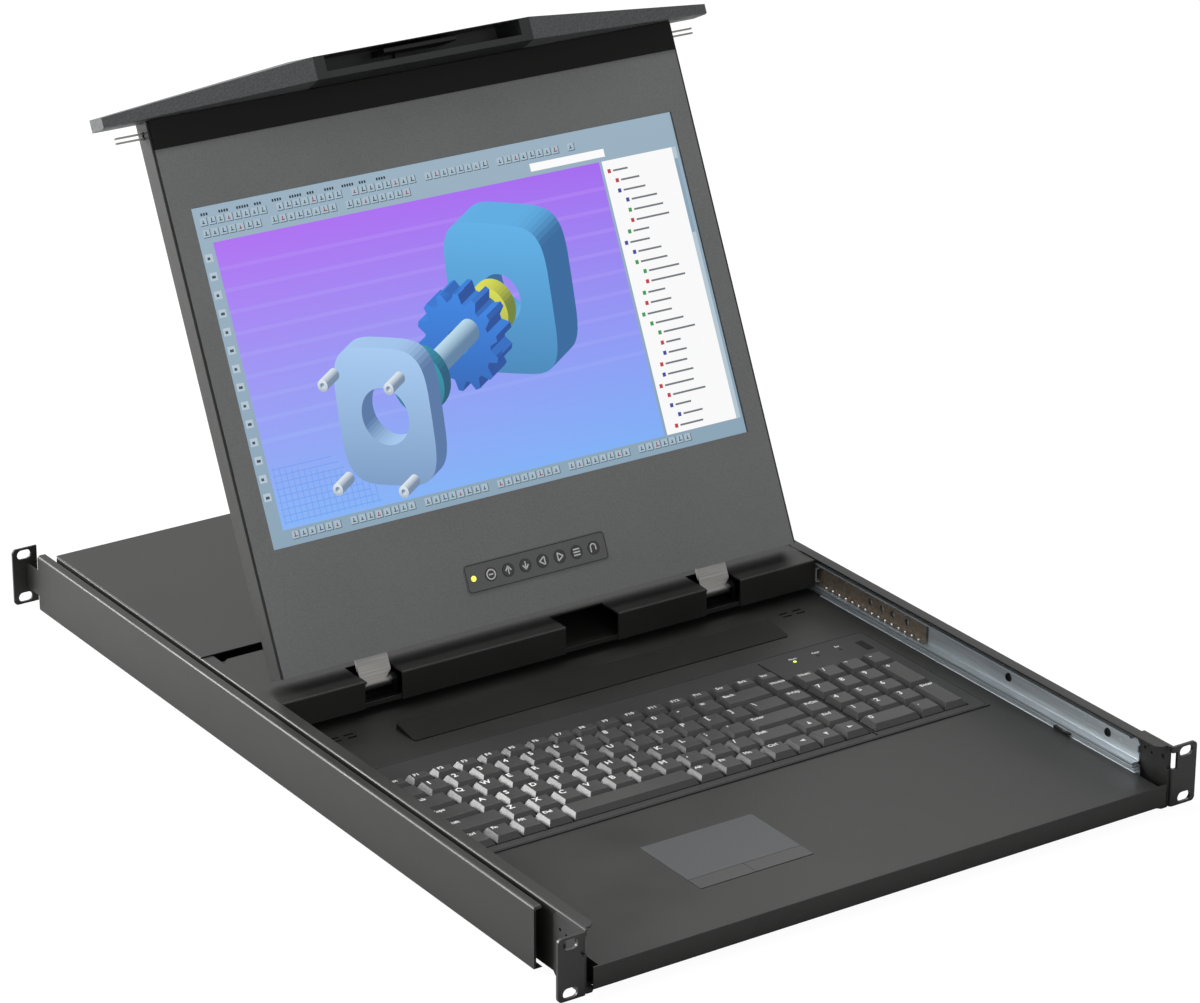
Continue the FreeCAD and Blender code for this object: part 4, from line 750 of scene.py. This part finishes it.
def pump_drawing(x0, y0, x1, y1):
    """Gear pump pulled apart along its shaft, on a ground that runs from blue to violet, with
    faint streaks and a grid."""
    bar(x0, y0, x1, y1, "#86b6fb", "#7db0fb", "#a566f4", "#b06ef6")
    wide, high = x1 - x0, y1 - y0
    for i in range(9):
        share = 0.3 + 0.075 * i
        y = y0 + share * high
        left = between("#8cbafb", "#b377f8", share - 0.02)
        right = between("#82b2fb", "#b073f7", share)
        bar(x0, y, x1, y + 2.6, left, right, right, left)
    for i in range(17):
        x = x0 + 3 + i * GRID_PITCH
        bar(x, y0 + 3, x + 0.5, y0 + 41 - i * 1.1, GRID)
    for i in range(9):
        y = y0 + 4 + i * GRID_PITCH
        bar(x0 + 2, y, x0 + 76 - i * 3.6, y + 0.5, GRID)
    far = Vector((x0 + wide * 0.73, y0 + high * 0.66))
    for outer, inner, back, front, colour in (
            (rounded_plate(34, 40, 0.45, 48), circle(13, 48), 0, 26, "#5cb2ea"),   # housing
            (circle(14, 40), circle(9, 40), 34, 44, "#dfe24e"),                    # seal
            (gear(21, 26, 14), circle(7, 56), 62, 80, "#3385e6"),                  # gear
            (circle(6.4, 36), circle(2.2, 36), 66, 112, "#bfe0f2"),                # shaft
            (circle(17, 40), circle(8, 40), 122, 130, "#2f9bb4")):                 # bush
        solid_ring(outer, inner, back, front, far, colour)
    near = far + TOWARDS * 157
    solid_ring(rounded_plate(30, 36, 0.5, 48), circle(15, 48), 0, 13, near, "#a9cdf5")
    for x, y in ((-21, -27), (21, -27), (21, 27), (-21, 27)):
        solid_ring(circle(3.2, 24, x, y), circle(1.5, 24, x, y), 26, 40, near, "#e6eef5")


wide, high = SCREEN_WIDE / MM, SCREEN_HIGH / MM
window_furniture(wide, high)
pump_drawing(10, 11, wide - 66, high - 24)
list_panel(wide - 64, 11, wide - 3, high - 24)
picture = piece("screen_picture", PICTURE["points"], PICTURE["faces"], DISPLAY, "monitor", PANEL)
tint = picture.data.color_attributes.new("tint", "FLOAT_COLOR", "CORNER")
for item, colour in zip(tint.data, PICTURE["tints"]):
    item.color = colour
# the studio drowns the light that the picture throws on what is in front of it
picture.visible_diffuse = picture.visible_glossy = False


# ---- marks on the menu keys ----
def strip_along(points, width):
    """Flat line of even width through the points, as a run of quads."""
    corners, faces = [], []
    for a, b in zip(points, points[1:]):
        a, b = Vector(a), Vector(b)
        across = Vector((a.y - b.y, b.x - a.x)).normalized() * width / 2
        start = len(corners)
        corners += [tuple(a - across), tuple(b - across), tuple(b + across), tuple(a + across)]
        faces.append(list(range(start, start + 4)))
    return corners, faces


def arc(radius, start, end, count, x=0.0, y=0.0):
    """Points along a circle round (x, y) from one angle to another, in degrees."""
    angles = [math.radians(start + (end - start) * i / count) for i in range(count + 1)]
    return [(x + radius * math.cos(a), y + radius * math.sin(a)) for a in angles]


def round_outline(x0, x1, y0, y1, radius):
    """Closed outline of a rectangle with round corners, as (x, y) points."""
    outline = []
    middle_x, middle_y = (x0 + x1) / 2, (y0 + y1) / 2
    for x, y, turn in ((x1, y1, 0), (x0, y1, 90), (x0, y0, 180), (x1, y0, 270)):
        outline += arc(radius, turn, turn + 90, 6, x - math.copysign(radius, x - middle_x),
                       y - math.copysign(radius, y - middle_y))
    return outline + outline[:1]


MARK_LINE = 0.95                   # mm
MENU_MARKS = {                     # lines of each mark, in mm from the middle of its key
    "power": [arc(3.2, 0, 360, 28), [(-1.7, 0), (1.7, 0)]],
    "up": [[(-2.2, -0.4), (0, 2.6), (2.2, -0.4)], [(0, 2.2), (0, -2.8)]],
    "down": [[(-2.2, 0.4), (0, -2.6), (2.2, 0.4)], [(0, -2.2), (0, 2.8)]],
    "left": [[(1.6, 2.8), (-2.6, 0), (1.6, -2.8), (1.6, 2.8)]],
    "right": [[(-1.6, 2.8), (2.6, 0), (-1.6, -2.8), (-1.6, 2.8)]],
    "menu": [[(-2.6, 2.0), (2.6, 2.0)], [(-2.6, 0), (2.6, 0)], [(-2.6, -2.0), (2.6, -2.0)]],
    "exit": [[(-2.4, -2.8), (-2.4, 0.8)] + arc(2.0, 180, 0, 10, -0.4, 0.8) + [(1.6, -1.6)]],
}
for key, lines in MENU_MARKS.items():
    node = "osd_" + key + "_button"
    low, high = panel_box(node)
    centre = (low + high) / 2
    points, faces = [], []
    for line in lines:
        corners, quads = strip_along(line, MARK_LINE)
        faces += [[i + len(points) for i in quad] for quad in quads]
        points += [(centre.x + x * MM, centre.y + y * MM, high.z + MARK_LIFT)
                   for x, y in corners]
    piece("mark_" + key, points, faces, INK, node, PANEL)

# line round the menu plate: its width, how far it lies inside the edge, and its corner radius
PLATE_LINE, PLATE_LINE_IN, PLATE_CORNER = 0.45 * MM, 1.0 * MM, 2.6 * MM
low, high = panel_box("osd_plate")
corners, faces = strip_along(round_outline(
    low.x + PLATE_LINE_IN, high.x - PLATE_LINE_IN, low.y + PLATE_LINE_IN,
    high.y - PLATE_LINE_IN, PLATE_CORNER), PLATE_LINE)
piece("menu_plate_outline", [(x, y, high.z + MARK_LIFT) for x, y in corners], faces, SHADOW_GAP,
      "monitor", PANEL)


# ---- printing, a dark line and painted shade in the gaps of the keyboard's frame ----
# line round the frame: its width, how far it lies inside the edge, and its corner radius
FRAME_LINE, FRAME_LINE_IN, FRAME_CORNER = 0.7 * MM, 1.1 * MM, 4 * MM
# the slot behind the keypad and the trench beside it are flat dark patches: painted shade where the frame has
# openings
SLOT_WIDTH, SLOT_LENGTH = 6.0 * MM, 15.0 * MM
SLOT_INSIDE, SLOT_BEHIND = 2.8 * MM, 10 * MM      # from the keypad's right rear corner
TRENCH_WIDTH, TRENCH_PAST = 2.4 * MM, 27 * MM     # the second is its length behind the keys
LABEL_LEFT, LABEL_BEHIND, LABEL_HEIGHT = 0.6 * MM, 2.4 * MM, 3.0 * MM
low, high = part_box("keyboard_bezel")
level = high.z + PRINT_LIFT
corners, faces = strip_along(round_outline(
    low.x + FRAME_LINE_IN, high.x - FRAME_LINE_IN, low.y + FRAME_LINE_IN,
    high.y - FRAME_LINE_IN, FRAME_CORNER), FRAME_LINE)
low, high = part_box("keypad_keys")
trench_x = (low.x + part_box("number_keys")[1].x - TRENCH_WIDTH) / 2
for x, y, width, length in (
        (high.x - SLOT_INSIDE, high.y + SLOT_BEHIND, SLOT_WIDTH, SLOT_LENGTH),
        (trench_x, low.y, TRENCH_WIDTH, high.y - low.y + TRENCH_PAST)):
    faces.append([len(corners) + i for i in range(4)])
    corners += [(x, y), (x + width, y), (x + width, y + length), (x, y + length)]
piece("keyboard_frame_line_and_gap_shade", [(x, y, level) for x, y in corners], faces, SHADOW_GAP,
      "tray")

low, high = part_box("keyboard_leds")
lens = high.y - low.y
pitch = (high.x - low.x - lens) / 2
points, faces = lettering([(text, low.x - LABEL_LEFT + i * pitch, high.y + LABEL_BEHIND,
                            LABEL_HEIGHT) for i, text in enumerate(("Num", "Caps", "Scr"))],
                          level)
piece("lamp_labels", points, faces, INK, "tray")


# ---- studio ----
FLOOR_DROP = 0.3 * MM              # the floor lies this far under the part
FLOOR_HALF = 12.0                  # metres
FLOOR_GLOW, FLOOR_GLOW_SHARE = 1.12, 0.85
ROOM_LIGHT = 0.26                  # what the room gives to a matt face
SHINE_LIGHT = 0.65                 # and what a shiny one mirrors of it


def pale_floor():
    """Matt floor that mostly glows towards the camera, so that it stays pale and even, with
    only a faint shadow under the part."""
    height = cad_bounds[0].z - FLOOR_DROP
    corners = ((-1, -1), (1, -1), (1, 1), (-1, 1))
    mesh = bpy.data.meshes.new("floor")
    mesh.from_pydata([(x * FLOOR_HALF, y * FLOOR_HALF, height) for x, y in corners], [],
                     [(0, 1, 2, 3)])
    floor = bpy.data.objects.new("floor", mesh)
    bpy.context.scene.collection.objects.link(floor)
    material, tree, shader = new_finish("pale_floor", Roughness=0.9,
                                        Base_Color=linear("#c9c9c9"))
    path = add(tree, "ShaderNodeLightPath")
    amount = add(tree, "ShaderNodeMath", {0: path.outputs["Is Camera Ray"],
                                          1: FLOOR_GLOW_SHARE}, operation="MULTIPLY")
    glow = add(tree, "ShaderNodeEmission", {"Color": linear("#ffffff"),
                                            "Strength": FLOOR_GLOW})
    mix = add(tree, "ShaderNodeMixShader", {0: amount.outputs["Value"],
                                            1: shader.outputs["BSDF"],
                                            2: glow.outputs["Emission"]})
    feed(tree, tree.nodes["Material Output"], {"Surface": mix.outputs["Shader"]})
    mesh.materials.append(material)


def pale_room():
    """White all round for the camera, dimmer for what shines and much dimmer for what is matt,
    so that the softboxes shape the part."""
    world = bpy.data.worlds.new("studio")
    bpy.context.scene.world = world
    world.use_nodes = True
    tree = world.node_tree
    path = add(tree, "ShaderNodeLightPath")
    direct = add(tree, "ShaderNodeMath", {0: path.outputs["Is Camera Ray"],
                                          1: path.outputs["Is Glossy Ray"]},
                 operation="MAXIMUM")
    shine = add(tree, "ShaderNodeMath", {0: path.outputs["Is Glossy Ray"],
                                         1: SHINE_LIGHT - 1, 2: 1.0}, operation="MULTIPLY_ADD")
    white = add(tree, "ShaderNodeBackground", {"Color": linear("#ffffff"),
                                               "Strength": shine.outputs["Value"]})
    grey = add(tree, "ShaderNodeBackground", {"Color": linear("#ffffff"),
                                              "Strength": ROOM_LIGHT})
    mix = add(tree, "ShaderNodeMixShader", {0: direct.outputs["Value"],
                                            1: grey.outputs["Background"],
                                            2: white.outputs["Background"]})
    feed(tree, tree.nodes["World Output"], {"Surface": mix.outputs["Shader"]})


# softboxes: place, point they face, width and height in metres, and watts
SOFTBOXES = {
    "overhead": ((0.2, 1.3, 2.4), (0, 0.4, 0), (2.2, 2.0), 48),
    "left": ((-2.7, 1.3, 1.0), (0, 0.6, 0.1), (1.8, 1.4), 34),
    "front": ((-0.3, -2.7, 1.3), (0, 0.4, 0.2), (1.6, 1.0), 13),
    # low behind the monitor's left edge: the left sides of the keys mirror it
    "left_rear": ((-1.45, 2.15, 0.95), (-0.15, 0.22, 0), (1.0, 0.8), 70),
}


def softbox(name, place, aim, size, power):
    """Rectangular lamp that faces the given point."""
    lamp = bpy.data.lights.new(name, "AREA")
    lamp.shape = "RECTANGLE"
    lamp.size, lamp.size_y = size
    lamp.energy = power
    item = bpy.data.objects.new(name, lamp)
    bpy.context.scene.collection.objects.link(item)
    item.location = place
    item.rotation_mode = "QUATERNION"
    item.rotation_quaternion = (Vector(aim) - Vector(place)).to_track_quat("-Z", "Y")


CAMERA_PLACE = (-1.50541, -1.92096, 1.24607)
CAMERA_AZIMUTH, CAMERA_ELEVATION, CAMERA_ROLL = -33.862, 22.472, 0.103     # degrees
CAMERA_LENS, CAMERA_SENSOR = 135.32, 36.0                                  # mm
CAMERA_SHIFT = (0.00457, -0.00108)


def camera():
    """Camera that looks down along the given azimuth and elevation."""
    azimuth, elevation, roll = map(math.radians,
                                   (CAMERA_AZIMUTH, CAMERA_ELEVATION, CAMERA_ROLL))
    back = Vector((math.sin(azimuth) * math.cos(elevation),
                   -math.cos(azimuth) * math.cos(elevation), math.sin(elevation)))
    side = Vector((0, 0, 1)).cross(back).normalized()
    up = back.cross(side)
    right = math.cos(roll) * side + math.sin(roll) * up
    top = -math.sin(roll) * side + math.cos(roll) * up
    lens = bpy.data.cameras.new("camera")
    lens.sensor_width = CAMERA_SENSOR
    lens.lens = CAMERA_LENS
    lens.shift_x, lens.shift_y = CAMERA_SHIFT
    lens.clip_start = 0.1
    item = bpy.data.objects.new("camera", lens)
    bpy.context.scene.collection.objects.link(item)
    turn = Matrix((right, top, back)).transposed().to_4x4()
    item.matrix_world = Matrix.Translation(CAMERA_PLACE) @ turn
    bpy.context.scene.camera = item


pale_floor()
pale_room()
for name, lamp in SOFTBOXES.items():
    softbox(name, *lamp)
camera()
bpy.context.scene.view_settings.view_transform = "Standard"
